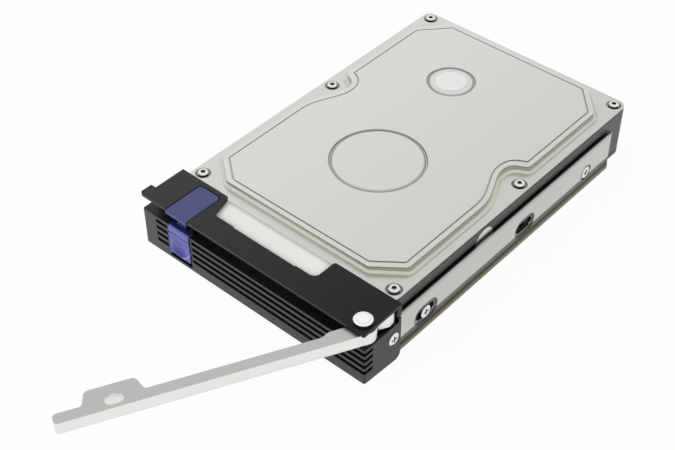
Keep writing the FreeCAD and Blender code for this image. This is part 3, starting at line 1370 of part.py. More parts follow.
def make_drive_connector():
    body = new_body("drive_connector")
    left = plug_x - plug_length / 2
    right = plug_x + plug_length / 2
    low = drive_low + plug_sunk
    high = low + plug_high
    front = drive_back - plug_deep
    pad(body, "Housing", "Y", front, drive_back, box_loop(left, right, low, high))
    pocket(body, "Mouth", "Y", drive_back - plug_mouth, drive_back + 1,
           box_loop(left + plug_wall, right - plug_wall, low + plug_wall, high - plug_wall))
    start = left + plug_wall + tongue_start
    middle = (low + high) / 2
    pad(body, "Tongues", "Y", drive_back - plug_mouth - 0.2, drive_back - tongue_back,
        box_loop(start, start + power_tongue, middle - tongue_thick / 2,
                 middle + tongue_thick / 2),
        box_loop(start + power_tongue + tongue_gap,
                 start + power_tongue + tongue_gap + signal_tongue,
                 middle - tongue_thick / 2, middle + tongue_thick / 2))
    return body


def build_all():
    pieces = [
        make_tray(), make_bezel(), make_top_plate(), make_plate_rivets(),
        make_latch_cover(), make_release_latch(), make_latch_spring(),
        make_lever(), make_lever_pin(),
        make_ring("lever_washer", lever_top + play, plate_low, pin_r, washer_r),
        make_ring("lever_spacer", bezel_top, lever_low - play, pin_r, spacer_r),
        make_bezel_screws(), make_drive_screws(),
        make_drive_base(), make_cover_gasket(), make_drive_cover(), make_cover_screws(),
        make_cover_disc(), make_side_seal(), make_drive_label(),
        make_circuit_board(), make_board_screws(), make_motor_hub(),
        make_drive_connector()]
    doc.recompute()
    return pieces


def check(pieces):
    for thing in doc.Objects:
        if "Invalid" in thing.State or "Error" in thing.State:
            raise RuntimeError("%s failed: %s" % (thing.Label, thing.State))
    for piece in pieces:
        shape = piece.Shape
        if shape.isNull() or not shape.isValid() or not shape.Solids:
            raise RuntimeError("%s has no sound shape" % piece.Label)


def main():
    pieces = build_all()
    check(pieces)
    os.makedirs("parts", exist_ok=True)
    for piece in pieces:
        piece.Shape.exportStep(os.path.join("parts", piece.Label + ".step"))
        box = piece.Shape.BoundBox
        print("%-16s solids %d  volume %9.1f  x %.2f..%.2f y %.2f..%.2f z %.2f..%.2f" % (
            piece.Label, len(piece.Shape.Solids), piece.Shape.Volume,
            box.XMin, box.XMax, box.YMin, box.YMax, box.ZMin, box.ZMax))


main()
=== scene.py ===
# %% [markdown]
# # A hot-swap drive caddy
# A server's hard drive sits in a folded steel tray.  A black bezel with long slots
# closes the front, an aluminium lever pulls the tray in and out, and a blue latch
# holds the lever shut.  The shapes come from the part's solids, which are loaded as
# a fixed frame.  This lesson gives them their edges and their finishes, and adds the
# few small things that are too fine for the solids.

# %% Load the frame
import json
import math
import bmesh
import bpy
from mathutils import Matrix, Vector


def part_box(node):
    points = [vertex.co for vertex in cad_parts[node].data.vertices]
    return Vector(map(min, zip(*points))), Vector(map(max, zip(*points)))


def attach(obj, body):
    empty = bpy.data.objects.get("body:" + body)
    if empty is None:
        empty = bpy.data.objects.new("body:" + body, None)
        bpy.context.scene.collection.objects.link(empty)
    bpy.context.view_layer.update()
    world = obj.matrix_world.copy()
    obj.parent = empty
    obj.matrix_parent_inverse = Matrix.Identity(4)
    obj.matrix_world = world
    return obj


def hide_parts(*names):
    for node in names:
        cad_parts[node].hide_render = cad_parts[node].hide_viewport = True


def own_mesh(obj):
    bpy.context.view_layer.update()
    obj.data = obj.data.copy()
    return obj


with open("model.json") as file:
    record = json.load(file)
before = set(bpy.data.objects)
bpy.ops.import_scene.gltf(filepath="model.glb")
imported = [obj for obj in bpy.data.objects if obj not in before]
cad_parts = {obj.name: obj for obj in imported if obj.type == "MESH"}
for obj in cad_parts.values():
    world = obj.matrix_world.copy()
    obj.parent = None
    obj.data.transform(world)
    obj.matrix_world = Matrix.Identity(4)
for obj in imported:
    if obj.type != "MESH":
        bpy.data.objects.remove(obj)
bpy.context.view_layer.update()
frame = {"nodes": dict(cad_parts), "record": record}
nodes = frame["nodes"]

# %% [markdown]
# ## Measures
# Blender works in metres, and a caddy is easier to think about in millimetres.  One
# helper turns millimetres into metres, and one gives a solid's lowest and highest
# corner, so that everything added here is placed from the solids themselves.

# %% Measures
def mm(number):
    return number / 1000


def grey(level):
    return (level, level, level)


def bounds_mm(name):
    """Lowest and highest corner of a solid, in millimetres."""
    low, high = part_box(name)
    return Vector(low) * 1000, Vector(high) * 1000


print("tray:", [round(side, 1) for side in bounds_mm("tray")[1]])

# %% [markdown]
# ## Camera
# The caddy is looked at from its right front corner, from well above.  A long lens
# keeps the drive's sides almost parallel.  The camera is placed by its own axes: the
# right, up and back directions are the columns of its matrix.

# %% Camera
scene = bpy.context.scene
camera_data = bpy.data.cameras.new("camera")
camera = bpy.data.objects.new("camera", camera_data)
scene.collection.objects.link(camera)
lens_over_width = 1313.95 / 675
camera_data.sensor_width = 36.0
camera_data.lens = 36.0 * lens_over_width
camera_data.clip_start = 0.01
camera_data.clip_end = 20.0
right = Vector((0.74986, 0.66159, -0.00234))
back = Vector((0.48845, -0.55122, 0.67644))
up = back.cross(right).normalized()
turn = Matrix((right, up, back)).transposed().to_4x4()
camera.matrix_world = Matrix.Translation((0.242704, -0.225821, 0.347737)) @ turn
scene.camera = camera
scene.view_settings.view_transform = "Standard"
print("lens", round(camera_data.lens, 2), "mm")

# %% [markdown]
# ## Shader arithmetic
# Blender's materials are graphs of nodes.  Written out one by one they are long and
# hard to read, so a small class wraps a socket: adding or multiplying two wrapped
# sockets makes the Math node that does it.  Every other node comes from one method
# that sets the node's options first and then its inputs.

# %% Shader helpers
class Value:
    """A node socket that can be used in a Python expression."""

    def __init__(self, finish, socket):
        self.finish = finish
        self.socket = socket

    def calc(self, operation, first, second=0.0, third=0.0):
        return self.finish.node("ShaderNodeMath", {"operation": operation},
                                {0: first, 1: second, 2: third})[0]

    def __add__(self, other):
        return self.calc("ADD", self, other)

    def __sub__(self, other):
        return self.calc("SUBTRACT", self, other)

    def __mul__(self, other):
        return self.calc("MULTIPLY", self, other)

    def __truediv__(self, other):
        return self.calc("DIVIDE", self, other)

    def __pow__(self, other):
        return self.calc("POWER", self, other)

    def __rsub__(self, other):
        return self.calc("SUBTRACT", other, self)

    def __rtruediv__(self, other):
        return self.calc("DIVIDE", other, self)

    __radd__ = __add__
    __rmul__ = __mul__

    def __abs__(self):
        return self.calc("ABSOLUTE", self)

    def above(self, edge):
        return self.calc("GREATER_THAN", self, edge)

    def below(self, edge):
        return self.calc("LESS_THAN", self, edge)

    def clamp(self):
        return self.calc("MINIMUM", self.calc("MAXIMUM", self, 0.0), 1.0)

    def ramp(self, low, high):
        """0 at low, 1 at high, straight between."""
        return ((self - low) / (high - low)).clamp()


class Finish:
    """A material under construction; its Principled shader is ready to use."""

    def __init__(self, name, colour, roughness=0.5, metallic=0.0, **constants):
        self.material = bpy.data.materials.new(name)
        self.material.use_nodes = True
        self.tree = self.material.node_tree
        self.shader = self.tree.nodes["Principled BSDF"]
        self.set("Base Color", colour)
        self.set("Roughness", roughness)
        self.set("Metallic", metallic)
        for label, value in constants.items():
            self.set(label.replace("_", " "), value)
        self.places = {}

    def feed(self, socket, value):
        if isinstance(value, Value):
            self.tree.links.new(value.socket, socket)
        elif isinstance(value, (tuple, list)) and len(value) == 3 and socket.type == "RGBA":
            socket.default_value = (*value, 1.0)
        else:
            socket.default_value = value

    def set(self, label, value):
        self.feed(self.shader.inputs[label], value)

    def node(self, kind, settings=None, inputs=None):
        """Add a node; hand back its enabled outputs as values."""
        made = self.tree.nodes.new(kind)
        for label, value in (settings or {}).items():
            if label == "stops":
                stops = made.color_ramp.elements
                while len(stops) < len(value):
                    stops.new(0.5)
                for stop, (place, colour) in zip(stops, value):
                    stop.position = place
                    stop.color = (*colour, 1.0)
            else:
                setattr(made, label, value)
        for label, value in (inputs or {}).items():
            if value is not None:
                self.feed(made.inputs[label], value)
        return [Value(self, socket) for socket in made.outputs if socket.enabled]

    def place(self):
        """Object coordinates in metres."""
        if "object" not in self.places:
            made = self.tree.nodes.new("ShaderNodeTexCoord")
            self.places["object"] = Value(self, made.outputs["Object"])
        return self.places["object"]

    def axes(self):
        return self.node("ShaderNodeSeparateXYZ", {}, {0: self.place()})

    def stretched(self, x, y, z):
        """Object coordinates scaled along each axis."""
        return self.node("ShaderNodeMapping", {}, {"Vector": self.place(), "Scale": (x, y, z)})[0]

    def noise(self, scale, detail=3.0, where=None, rough=0.55):
        where = where or self.place()
        return self.node("ShaderNodeTexNoise", {},
                         {"Vector": where, "Scale": scale, "Detail": detail,
                          "Roughness": rough})[0]

    def blend(self, factor, one, two, kind="MIX"):
        """Mix two colours."""
        made = self.tree.nodes.new("ShaderNodeMix")
        made.data_type = "RGBA"
        made.blend_type = kind
        self.feed(made.inputs[0], factor)
        self.feed(made.inputs[6], one)
        self.feed(made.inputs[7], two)
        return Value(self, made.outputs[2])

    def tint(self, colour):
        """Keep a colour, so that later steps can build on it, and show it."""
        self.colour = colour
        self.set("Base Color", colour)

    def bump(self, height, strength, distance):
        made = self.node("ShaderNodeBump", {},
                         {"Height": height, "Strength": strength, "Distance": distance})
        self.set("Normal", made[0])


print("shader helpers ready")

# %% [markdown]
# ## Light
# The studio does two jobs.  What the camera sees behind the caddy is plain white, and
# the metal and the plastic have to mirror that same white, so camera, glossy and
# transmission rays all meet it.  The matt light that falls on every surface comes from
# a soft dome instead: dark at the horizon, widest and brightest at half height, a
# little brighter to the left and dimmer in front, as in a room with one window.

# %% World
world = bpy.data.worlds.new("studio")
scene.world = world
world.use_nodes = True
tree = world.node_tree
tree.nodes.clear()


def world_node(kind, **settings):
    made = tree.nodes.new(kind)
    for label, value in settings.items():
        setattr(made, label, value)
    return made


coords = world_node("ShaderNodeTexCoord")
split = world_node("ShaderNodeSeparateXYZ")
dome = world_node("ShaderNodeValToRGB")
bands = ((0.0, 0.04), (0.20, 0.06), (0.36, 0.85), (0.50, 1.15), (0.64, 1.15),
         (0.80, 0.45), (1.0, 0.30))
stops = dome.color_ramp.elements
while len(stops) < len(bands):
    stops.new(0.5)
for stop, (height, glow) in zip(stops, bands):
    stop.position = height
    stop.color = (glow, glow, glow, 1)
sideways = world_node("ShaderNodeVectorMath", operation="DOT_PRODUCT")
sideways.inputs[1].default_value = (-0.45, -0.40, 0.0)
brighter = world_node("ShaderNodeMath", operation="ADD")
brighter.inputs[1].default_value = 1.0
frontwards = world_node("ShaderNodeVectorMath", operation="DOT_PRODUCT")
frontwards.inputs[1].default_value = (0.66, -0.75, 0.0)
dimmer = world_node("ShaderNodeMapRange")
dimmer.inputs["From Min"].default_value = 0.25
dimmer.inputs["From Max"].default_value = 0.80
dimmer.inputs["To Min"].default_value = 1.0
dimmer.inputs["To Max"].default_value = 0.25
level = world_node("ShaderNodeMath", operation="MULTIPLY")
soft = world_node("ShaderNodeBackground")
plain = world_node("ShaderNodeBackground")
plain.inputs["Color"].default_value = (1, 1, 1, 1)
plain.inputs["Strength"].default_value = 1.0
path = world_node("ShaderNodeLightPath")
camera_or_glossy = world_node("ShaderNodeMath", operation="ADD")
background_rays = world_node("ShaderNodeMath", operation="ADD", use_clamp=True)
pick = world_node("ShaderNodeMixShader")
out = world_node("ShaderNodeOutputWorld")
link = tree.links.new
link(coords.outputs["Generated"], split.inputs[0])
link(split.outputs["Z"], dome.inputs[0])
link(dome.outputs[0], soft.inputs["Color"])
link(coords.outputs["Generated"], sideways.inputs[0])
link(sideways.outputs["Value"], brighter.inputs[0])
link(coords.outputs["Generated"], frontwards.inputs[0])
link(frontwards.outputs["Value"], dimmer.inputs["Value"])
link(brighter.outputs[0], level.inputs[0])
link(dimmer.outputs[0], level.inputs[1])
link(level.outputs[0], soft.inputs["Strength"])
link(path.outputs["Is Camera Ray"], camera_or_glossy.inputs[0])
link(path.outputs["Is Glossy Ray"], camera_or_glossy.inputs[1])
link(camera_or_glossy.outputs[0], background_rays.inputs[0])
link(path.outputs["Is Transmission Ray"], background_rays.inputs[1])
link(background_rays.outputs[0], pick.inputs[0])
link(soft.outputs[0], pick.inputs[1])
link(plain.outputs[0], pick.inputs[2])
link(pick.outputs[0], out.inputs["Surface"])
print("dome bands:", bands)

# %% [markdown]
# ## Lamps
# Two soft windows give the light a direction: a large one in front and a smaller one
# on the right.  They light the surfaces and throw the faint shadow, and they are hidden
# from reflections, because a mirror image of a lamp would burn a hole in the metal.

# %% Lamps
def area_lamp(name, place, target, size, power):
    data = bpy.data.lights.new(name, "AREA")
    data.shape = "RECTANGLE"
    data.size, data.size_y = size
    data.energy = power
    lamp = bpy.data.objects.new(name, data)
    scene.collection.objects.link(lamp)
    lamp.location = place
    aim = Vector(target) - Vector(place)
    lamp.rotation_euler = aim.to_track_quat("-Z", "Y").to_euler()
    return lamp


for lamp in (area_lamp("front_window", (-0.35, -1.15, 0.75), (0, 0.05, 0), (1.0, 0.6), 8.5),
             area_lamp("right_window", (1.25, -0.15, 0.65), (0, 0.07, 0), (0.7, 0.5), 3.5)):
    lamp.visible_glossy = False
print("lamps set")

# %% [markdown]
# ## Table
# A white sheet under the caddy.  The camera sees it as white with a faint shadow:
# most of its brightness is its own, and a small share is what the lamps leave there.

# %% Table
bm = bmesh.new()
half_side = 3.0
below_caddy = 0.0002
bmesh.ops.create_grid(bm, x_segments=1, y_segments=1, size=half_side)
bmesh.ops.translate(bm, verts=bm.verts, vec=(0, 0, -below_caddy))
mesh = bpy.data.meshes.new("table")
bm.to_mesh(mesh)
bm.free()
table = bpy.data.objects.new("table", mesh)
scene.collection.objects.link(table)
paper = Finish("table_white", (0.85, 0.85, 0.85), 0.9)
paper_path = paper.node("ShaderNodeLightPath")
glow = paper.tree.nodes.new("ShaderNodeEmission")
glow.inputs["Strength"].default_value = 1.0
mix = paper.tree.nodes.new("ShaderNodeMixShader")
output = paper.tree.nodes["Material Output"]
camera_ray, glossy_ray, transmission_ray = (paper_path[index] for index in (0, 3, 6))
seen = (camera_ray + glossy_ray + transmission_ray).clamp()
own_light = 0.96
paper.feed(mix.inputs[0], seen * own_light)
paper.tree.links.new(paper.shader.outputs[0], mix.inputs[1])
paper.tree.links.new(glow.outputs[0], mix.inputs[2])
paper.tree.links.new(mix.outputs[0], output.inputs["Surface"])
mesh.materials.append(paper.material)
print("table", table.dimensions[:])

# %% [markdown]
# ## Finishes
# Each piece gets the finish of its real material.  Bare metal has a fine grain from
# rolling or brushing, so its roughness and a very small bump follow a stretched
# noise.  Two helpers adjust a finish afterwards, and here both paint light and shade
# into its colour: one lets the colour drift to another inside a mask, and one tints by
# height above the piece's own lowest point, which is how painted shade and reflection
# go into a fold, a groove or a step.

# %% Finish helpers
def rolled_metal(name, colour, roughness, grain=(40, 900, 900), wear=0.06, relief=0.00002):
    """Sheet or bar metal with a grain along one axis and faint clouding."""
    finish = Finish(name, colour, roughness, 1.0)
    streaks = finish.noise(1.0, 4.0, finish.stretched(*grain))
    clouds = finish.noise(35.0, 3.0)
    dark = tuple(channel * (1 - wear) for channel in colour)
    light = tuple(min(1.0, channel * (1 + wear)) for channel in colour)
    finish.tint(finish.blend(clouds * 0.7 + streaks * 0.3, dark, light))
    finish.set("Roughness", roughness - 0.06 + streaks * 0.08 + clouds * 0.06)
    finish.bump(streaks, 0.25, relief)
    return finish


def moulded(name, colour, roughness, grain=1500.0, relief=0.00003, lift=1.15, **more):
    """Moulded plastic with a fine spark-eroded texture."""
    finish = Finish(name, colour, roughness, 0.0, **more)
    texture = finish.noise(grain, 2.0)
    clouds = finish.noise(60.0, 2.0)
    lighter = tuple(min(1.0, channel * lift) for channel in colour)
    finish.tint(finish.blend(clouds, colour, lighter))
    finish.set("Roughness", roughness - 0.04 + texture * 0.08)
    finish.bump(texture, 0.35, relief)
    return finish


def drift(finish, mask, colour):
    """Let the colour drift to another one where the mask is 1."""
    finish.tint(finish.blend(mask, finish.colour, colour))


def by_height(finish, base, bands, mask=1.0):
    """Tint a finish by height to paint light and shade: each band is millimetres above the base,
    and a colour.
    """
    first, last = bands[0][0], bands[-1][0]
    height = finish.axes()[2].ramp(mm(base + first), mm(base + last))
    stops = [((level - first) / (last - first), colour) for level, colour in bands]
    ramp = finish.node("ShaderNodeValToRGB", {"stops": stops}, {0: height})[0]
    finish.tint(finish.blend(mask, finish.colour, ramp, "MULTIPLY"))


print("finish helpers ready")

# %% [markdown]
# ## Drive cover
# The lid is pressed from aluminium sheet and has a satin, faintly cloudy skin.  Its
# edge steps down to a low rim.  The dark line at the foot of the rim is painted shade in
# the gap over the gasket, and the grey line on the shoulder is painted shade under the
# raised bead, so both are bands of height.  The skin is painted a little darker towards
# the right, as shade where the studio light falls off.

# %% Drive cover finish
cover_low, cover_high = bounds_mm("drive_cover")
cover_metal = rolled_metal("cover_metal", (0.70, 0.695, 0.672), 0.27, (300, 8, 300), 0.015,
                           0.000001)
# Painted shade: the lid is darkened towards the right, where the studio light falls off.
drift(cover_metal, cover_metal.axes()[0].ramp(mm(-30), mm(cover_high.x)) * 0.9,
      (0.625, 0.617, 0.59))
# Painted shade: the dark line over the gasket gap and the grey line under the raised bead.
by_height(cover_metal, cover_low.z,
          [(0.0, grey(0.10)), (0.36, grey(0.12)), (0.40, grey(0.38)), (0.80, grey(0.50)),
           (0.88, grey(0.95)), (1.10, (0.88, 0.92, 0.82)), (2.75, (0.84, 0.86, 0.80)),
           (2.90, grey(1.0)),
           (2.95, grey(0.70)), (3.10, grey(0.50)), (3.50, grey(0.75)), (3.59, grey(1.0))])
print("cover finish from z", round(cover_low.z, 2), "to", round(cover_high.z, 2), "mm")

# %% [markdown]
# ## Steel tray
# Zinc-coated sheet, rolled along its length, so the streaks run from front to back.
# Painted shade and a painted reflection of the shaded table gather in the fold near the
# bottom: a dark green line, with a yellowish strip under it.  The outer skin also turns
# darker towards its top edge.  The inside of the tray is nearly closed by the drive, so it
# is painted dark as shade.

# %% Tray finish
tray_low, tray_high = bounds_mm("tray")
sheet_mm = 0.35
tray_metal = rolled_metal("tray_steel", (0.535, 0.54, 0.515), 0.30, (900, 25, 900), 0.05)
x, y, z = tray_metal.axes()
outer_skin = abs(x).above(mm(tray_high.x - 1.3))
# Painted shade and painted reflection in the fold near the bottom; darker towards the top edge.
by_height(tray_metal, tray_low.z,
          [(0.0, (0.40, 0.38, 0.28)), (1.4, (0.40, 0.36, 0.22)), (2.2, (0.28, 0.26, 0.15)),
           (3.0, (0.11, 0.105, 0.06)), (3.8, (0.030, 0.035, 0.015)),
           (4.6, (0.020, 0.026, 0.010)), (5.4, (0.055, 0.055, 0.042)),
           (6.4, (0.12, 0.11, 0.095)), (7.6, (0.18, 0.165, 0.14)), (7.95, grey(1.0)),
           (18.0, grey(1.0)), (20.0, grey(0.68))], outer_skin)
# Painted shade: the inside of the tray above the fold is darkened.
drift(tray_metal, abs(x).below(mm(tray_high.x - sheet_mm)) * z.above(mm(tray_low.z + 8.2)),
      grey(0.12))
print("tray finish up to z", round(tray_high.z, 2), "mm")

# %% [markdown]
# ## Lever and its pin
# The lever is cast aluminium, tumbled smooth, and its top face is painted a little darker
# than its sides, as shade.  The pin's zinc-plated head carries a painted dark ring round
# its own centre, as shade where its raised inner disc steps down.

# %% Lever and pin finishes
lever_low = bounds_mm("lever")[0]
lever_metal = rolled_metal("lever_aluminium", (0.82, 0.82, 0.80), 0.34, (300, 300, 300), 0.03)
# Painted shade: the lever's top face is darker than its sides.
by_height(lever_metal, lever_low.z, [(0.0, grey(1.0)), (4.95, grey(1.0)), (5.1, grey(0.61))])
pin_low, pin_high = bounds_mm("lever_pin")
pin_middle = (pin_low + pin_high) / 2
ring_radius, ring_wide = mm(2.35), mm(0.25)
pin_metal = rolled_metal("pin_zinc", (0.88, 0.92, 0.935), 0.28, (500, 500, 500), 0.03)
x, y, z = pin_metal.axes()
across = x - mm(pin_middle.x)
along = y - mm(pin_middle.y)
off_ring = abs((across * across + along * along) ** 0.5 - ring_radius)
# Painted shade: a dark ring where the raised inner disc of the head steps down.
drift(pin_metal, (1 - off_ring.ramp(0.0, ring_wide)) * 0.35, grey(0.25))
print("pin centre", round(pin_middle.x, 2), round(pin_middle.y, 2), "mm")

# %% [markdown]
# ## Screws and small metal
# The side screws are bright zinc.  The lid's screws have a deep socket, which is painted
# dark as shade up to just under the head's rim.  The rest is plain dull steel, and the
# side seal is thin shiny foil.

# %% Small metal finishes
screw_metal = rolled_metal("screw_zinc", (0.76, 0.77, 0.77), 0.25, (500, 500, 500), 0.05)
lid_screw_low = bounds_mm("cover_screws")[0]
cover_screw = rolled_metal("cover_screw_steel", (0.80, 0.78, 0.74), 0.25, (500, 500, 500), 0.08)
# Painted shade: everything below the head's rim, the socket included, is darkened.
by_height(cover_screw, lid_screw_low.z,
          [(0.0, grey(0.10)), (6.50, grey(0.15)), (6.70, grey(0.06)), (6.95, grey(0.80)),
           (7.20, grey(1.0))])
dull_screw = rolled_metal("dull_steel", (0.60, 0.58, 0.54), 0.32, (500, 500, 500), 0.08)
spring_metal = rolled_metal("spring_steel", (0.5, 0.5, 0.51), 0.3, (400, 400, 400), 0.05)
foil_metal = rolled_metal("seal_foil", (0.80, 0.80, 0.76), 0.33, (400, 60, 60), 0.04)
hub_metal = rolled_metal("hub_metal", (0.6, 0.6, 0.59), 0.3, (300, 300, 300), 0.05)
print("small metals made")

# %% [markdown]
# ## Casting
# The drive's body is a casting dipped in dark grey paint.  The dip leaves an even coat
# over a pebbled skin.  Where the tray hides the casting's side it gets no light, so
# that strip is painted nearly black as shade.

# %% Casting finish
base_low = bounds_mm("drive_base")[0]
casting = Finish("casting_grey", (0.064, 0.066, 0.057), 0.42, 0.25)
pebbles = casting.noise(900.0, 2.0)
clouds = casting.noise(40.0, 3.0)
casting.tint(casting.blend(clouds, (0.064, 0.066, 0.057), (0.080, 0.082, 0.071)))
casting.set("Roughness", 0.37 + clouds * 0.1)
casting.bump(pebbles, 0.3, 0.00004)
x, y, z = casting.axes()
# Painted shade: the casting's side behind the tray is made nearly black.
behind_tray = y.above(mm(base_low.y + 0.25)) * y.below(mm(tray_high.y - 1.05))
below_lip = (z.ramp(mm(base_low.z + 0.3), mm(base_low.z + 1.3))
             * (1 - z.ramp(mm(tray_high.z + 0.3), mm(tray_high.z + 1.1))))
drift(casting, behind_tray * below_lip, grey(0.002))
print("casting made")

# %% [markdown]
# ## Black bezel and plate
# The bezel is black moulded plastic.  Both blacks are painted a little lighter towards
# the left side, as painted light from the brighter left.  The slots are deep and lose
# their light, so everything behind the bezel's front skin is painted close to black as
# shade.  The top plate is black-coated steel, smoother than the plastic.

# %% Black finishes
bezel_low, bezel_high = bounds_mm("bezel")
black_moulding = moulded("bezel_black", (0.021, 0.022, 0.0215), 0.5)
x, y, z = black_moulding.axes()
# Painted light: the bezel's black is lighter towards the left side.
drift(black_moulding, x.ramp(0.0, mm(bezel_low.x)), (0.046, 0.048, 0.047))
# Painted shade: everything behind the bezel's front skin is darkened nearly to black.
in_slots = (y.ramp(mm(bezel_low.y + 0.10), mm(bezel_low.y + 0.28))
            * abs(x).below(mm(bezel_high.x - 0.3)))
drift(black_moulding, in_slots, grey(0.0015))
black_sheet = moulded("plate_black", (0.0015, 0.002, 0.0018), 0.30, 1200.0, 0.00001,
                      Specular_IOR_Level=0.22)
# Painted light: the plate's black is lighter towards the left side.
drift(black_sheet, black_sheet.axes()[0].ramp(mm(50), mm(-50)), (0.027, 0.028, 0.026))
gasket_black = moulded("gasket_black", (0.01, 0.01, 0.01), 0.6)
plug_black = moulded("plug_black", (0.015, 0.015, 0.016), 0.4)
print("blacks made")

# %% [markdown]
# ## Blue latch
# The slab above and the pad below are one blue plastic, so that a hand finds them; the
# slab is given a darker blue as painted shade.  The pad has a finger scoop: a round
# hollow whose lower edge carries a painted highlight line and whose inside has painted
# shade.  Two grip grooves cross it above and are painted dark inside as shade, and its
# top face, tucked under the slab, is painted dark as shade.

# %% Blue finishes
pad_low, pad_high = bounds_mm("release_latch")
scoop_x = (pad_low.x + pad_high.x) / 2 - 1.95
scoop_z = pad_low.z + 7.8
scoop_reach = 7.9
# Painted shade: the slab is the pad's blue plastic, given a darker colour.
shaded_blue_slab = moulded("slab_blue_painted_shade", (0.047, 0.054, 0.19), 0.40, 1400.0, 0.00002, 1.1)
blue_latch = moulded("latch_blue", (0.11, 0.125, 0.41), 0.42, 1400.0, 0.00002, 1.1)
x, y, z = blue_latch.axes()
# Painted shade: the latch's top face under the slab is darkened.
top_face = z.ramp(mm(pad_low.z + 13.6), mm(pad_low.z + 13.95))
drift(blue_latch, top_face, grey(0.004))
drift(blue_latch, top_face * 0.5, (0.01, 0.01, 0.12))
across = x - mm(scoop_x)
upward = z - mm(scoop_z)
edge = (across * across + upward * upward) ** 0.5 - mm(scoop_reach)
front = y.below(mm(bezel_low.y + 2.0)) * z.below(mm(pad_low.z + 8.6))
# Painted shade inside the lower part of the finger scoop.
shade = (1 - edge.ramp(mm(-0.45), mm(-0.2))) * (1 - z.ramp(mm(pad_low.z + 1.3),
                                                          mm(pad_low.z + 4.5)))
drift(blue_latch, shade * front * 0.9, (0.045, 0.035, 0.26))
# Painted highlight: a light line along the scoop's lower edge.
lip = (1 - abs(edge).ramp(mm(0.12), mm(0.34))) * z.below(mm(pad_low.z + 6.4))
drift(blue_latch, lip * front * 0.8, (0.36, 0.38, 0.72))
# Painted shade: the insides of the grip grooves are darkened.
grooves = z.above(mm(pad_low.z + 8.4)) * z.below(mm(pad_low.z + 11.6))
drift(blue_latch, y.ramp(mm(pad_low.y + 0.1), mm(pad_low.y + 0.35)) * grooves * 0.75,
      grey(0.03))
print("scoop centre", round(scoop_x, 2), round(scoop_z, 2), "mm")

# %% [markdown]
# ## Papers and circuit board
# The round disc and the label are matt white paper.  The circuit board is green
# lacquer with fine copper lanes under it, drawn by a brick pattern with thin joints.

# %% Paper and board finishes
disc_paper = moulded("disc_white", (0.96, 0.96, 0.95), 0.35, 900.0, 0.00001, 1.02)
white_paper = moulded("label_white", (0.93, 0.92, 0.87), 0.55, 900.0, 0.00001, 1.03)
board = Finish("board_green", (0.01, 0.10, 0.045), 0.28)
lanes = board.node("ShaderNodeTexBrick", {"offset": 0.37},
                   {"Vector": board.place(), "Scale": 220.0,
                    "Mortar Size": 0.02, "Color1": (0.012, 0.12, 0.055),
                    "Color2": (0.008, 0.085, 0.04), "Mortar": (0.02, 0.17, 0.08)})
board.set("Base Color", lanes[0])
print("papers and board made")

# %% [markdown]
# ## Dress the solids
# Every solid gets one finish.  Writing the pairs as a table makes a forgotten piece
# show up at once as a missing name.

# %% Dress the solids
coat_of = {
    "tray": tray_metal, "bezel": black_moulding, "top_plate": black_sheet,
    "plate_rivets": dull_screw, "latch_cover": shaded_blue_slab,
    "release_latch": blue_latch, "latch_spring": spring_metal, "lever": lever_metal,
    "lever_pin": pin_metal, "lever_washer": dull_screw, "lever_spacer": dull_screw,
    "bezel_screws": screw_metal, "drive_screws": screw_metal, "drive_base": casting,
    "cover_gasket": gasket_black, "drive_cover": cover_metal, "cover_screws": cover_screw,
    "cover_disc": disc_paper, "side_seal": foil_metal, "drive_label": white_paper,
    "circuit_board": board, "board_screws": dull_screw, "motor_hub": hub_metal,
    "drive_connector": plug_black}
for name, node in nodes.items():
    node.data.materials.clear()
    node.data.materials.append(coat_of[name].material)
print("dressed", len(nodes), "solids")

# %% [markdown]
# ## Label flap
# The drive's white label runs on past the drive's front edge: its upper part is folded
# forward and lies under the black plate, where the plate's notch shows it.  It is paper,
# so it is one thin strip.  A row of points is drawn once as the strip's profile and
# pulled sideways, and Solidify gives it a tenth of a millimetre.

# %% Label flap
def finished_mesh(name, bm, finish):
    """Turn a bmesh into a piece that rides on the caddy."""
    bmesh.ops.recalc_face_normals(bm, faces=bm.faces)
    mesh = bpy.data.meshes.new(name)
    bm.to_mesh(mesh)
    bm.free()
    mesh.materials.append(finish.material)
    piece = bpy.data.objects.new(name, mesh)
    scene.collection.objects.link(piece)
    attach(piece, "caddy")
    return piece


label_low, label_high = bounds_mm("drive_label")
plate_low, plate_high = bounds_mm("top_plate")
plate_thick = 1.2
paper_gap = 0.17
sheet_z = plate_high.z - plate_thick - paper_gap
flap_left, flap_right = plate_low.x + 25.5, plate_low.x + 80.0
flap_front = plate_low.y + 9.3
profile = [(label_low.y + 0.05, label_high.z - 0.4), (label_low.y + 0.05, label_high.z + 0.75),
           (label_low.y - 0.15, label_high.z + 1.0), (label_low.y - 1.8, sheet_z - 0.05),
           (label_low.y - 2.1, sheet_z), (flap_front, sheet_z)]
bm = bmesh.new()
points = [bm.verts.new((mm(flap_left), mm(y), mm(z))) for y, z in profile]
edges = [bm.edges.new(pair) for pair in zip(points, points[1:])]
pulled = bmesh.ops.extrude_edge_only(bm, edges=edges)["geom"]
moved = [part for part in pulled if isinstance(part, bmesh.types.BMVert)]
bmesh.ops.translate(bm, verts=moved, vec=(mm(flap_right - flap_left), 0, 0))
flap = finished_mesh("label_flap", bm, white_paper)
sheet = flap.modifiers.new("paper", "SOLIDIFY")
sheet.thickness = mm(0.1)
sheet.offset = 0.0
print("label flap at z", round(sheet_z, 2), "mm")
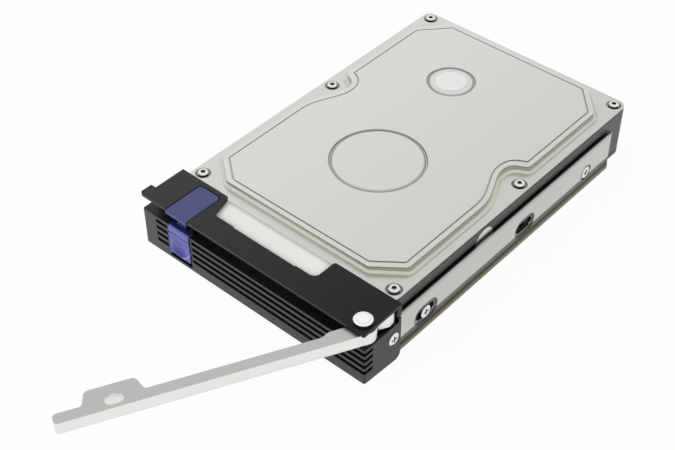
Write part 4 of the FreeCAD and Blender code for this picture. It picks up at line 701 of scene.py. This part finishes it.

# %% [markdown]
# ## Latch spring
# A coil spring stands under the latch and pushes it back up.  The frame's solid spring
# is rigid, so the pressed latch would sink into it.  This coil takes its place and has
# the same size; the share of its length left when the latch is pressed is worked out.
# One small circle is spun round the spring's axis and lifted a little at every step,
# which is all that a helix is.

# %% Latch spring
spring_low, spring_high = bounds_mm("latch_spring")
centre = (spring_low + spring_high) / 2
wire = 0.25
turns, steps_a_turn, wire_sides = 5, 28, 10
coil_radius = (spring_high.x - spring_low.x) / 2 - wire
length = spring_high.z - spring_low.z
rise = length - 2 * wire
steps = turns * steps_a_turn
bm = bmesh.new()
ring = bmesh.ops.create_circle(bm, cap_ends=False, radius=mm(wire),
                               segments=wire_sides)["verts"]
bmesh.ops.rotate(bm, verts=ring, cent=(0, 0, 0),
                 matrix=Matrix.Rotation(math.radians(90), 3, "X"))
bmesh.ops.translate(bm, verts=ring, vec=(mm(centre.x + coil_radius), mm(centre.y),
                                         mm(spring_low.z + wire)))
bmesh.ops.spin(bm, geom=bm.verts[:] + bm.edges[:], cent=(mm(centre.x), mm(centre.y), 0),
               axis=(0, 0, 1), dvec=(0, 0, mm(rise) / steps), angle=turns * math.tau,
               steps=steps, use_merge=False, use_duplicate=False)
bmesh.ops.holes_fill(bm, edges=[edge for edge in bm.edges if edge.is_boundary], sides=0)
for face in bm.faces:
    face.smooth = len(face.verts) == 4
coil = finished_mesh("latch_coil", bm, spring_metal)
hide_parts("latch_spring")
press = next(joint for joint in frame["record"]["behaviour"]["joints"]
             if joint["name"] == "latch_press")
travel = press["range_m"][1] * 1000
pressed_share = (length - travel) / length
mm(centre.x)
mm(centre.y)
mm(spring_low.z)
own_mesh(coil)
print("coil", len(coil.data.polygons), "faces, keeps", round(pressed_share, 3))

# %% [markdown]
# ## Edges
# No real edge is perfectly sharp.  The solids arrive as loose triangles, so a Weld
# modifier joins them first, and a Bevel modifier then rounds each edge by a tenth of
# a millimetre or two, which catches a thin line of light.

# %% Soft edges
def soften(name, width):
    """Weld a solid's triangles, then round its edges."""
    node = nodes[name]
    weld = node.modifiers.new("weld", "WELD")
    weld.merge_threshold = mm(0.002)
    bevel = node.modifiers.new("bevel", "BEVEL")
    bevel.width = mm(width)
    bevel.segments = 2
    bevel.limit_method = "ANGLE"
    bevel.angle_limit = math.radians(28)
    bevel.harden_normals = False
    bevel.use_clamp_overlap = True


for name, width in (("tray", 0.15), ("bezel", 0.18), ("top_plate", 0.18), ("lever", 0.25),
                    ("latch_cover", 0.2), ("release_latch", 0.2), ("drive_base", 0.2),
                    ("lever_pin", 0.12)):
    soften(name, width)
print("edges softened")
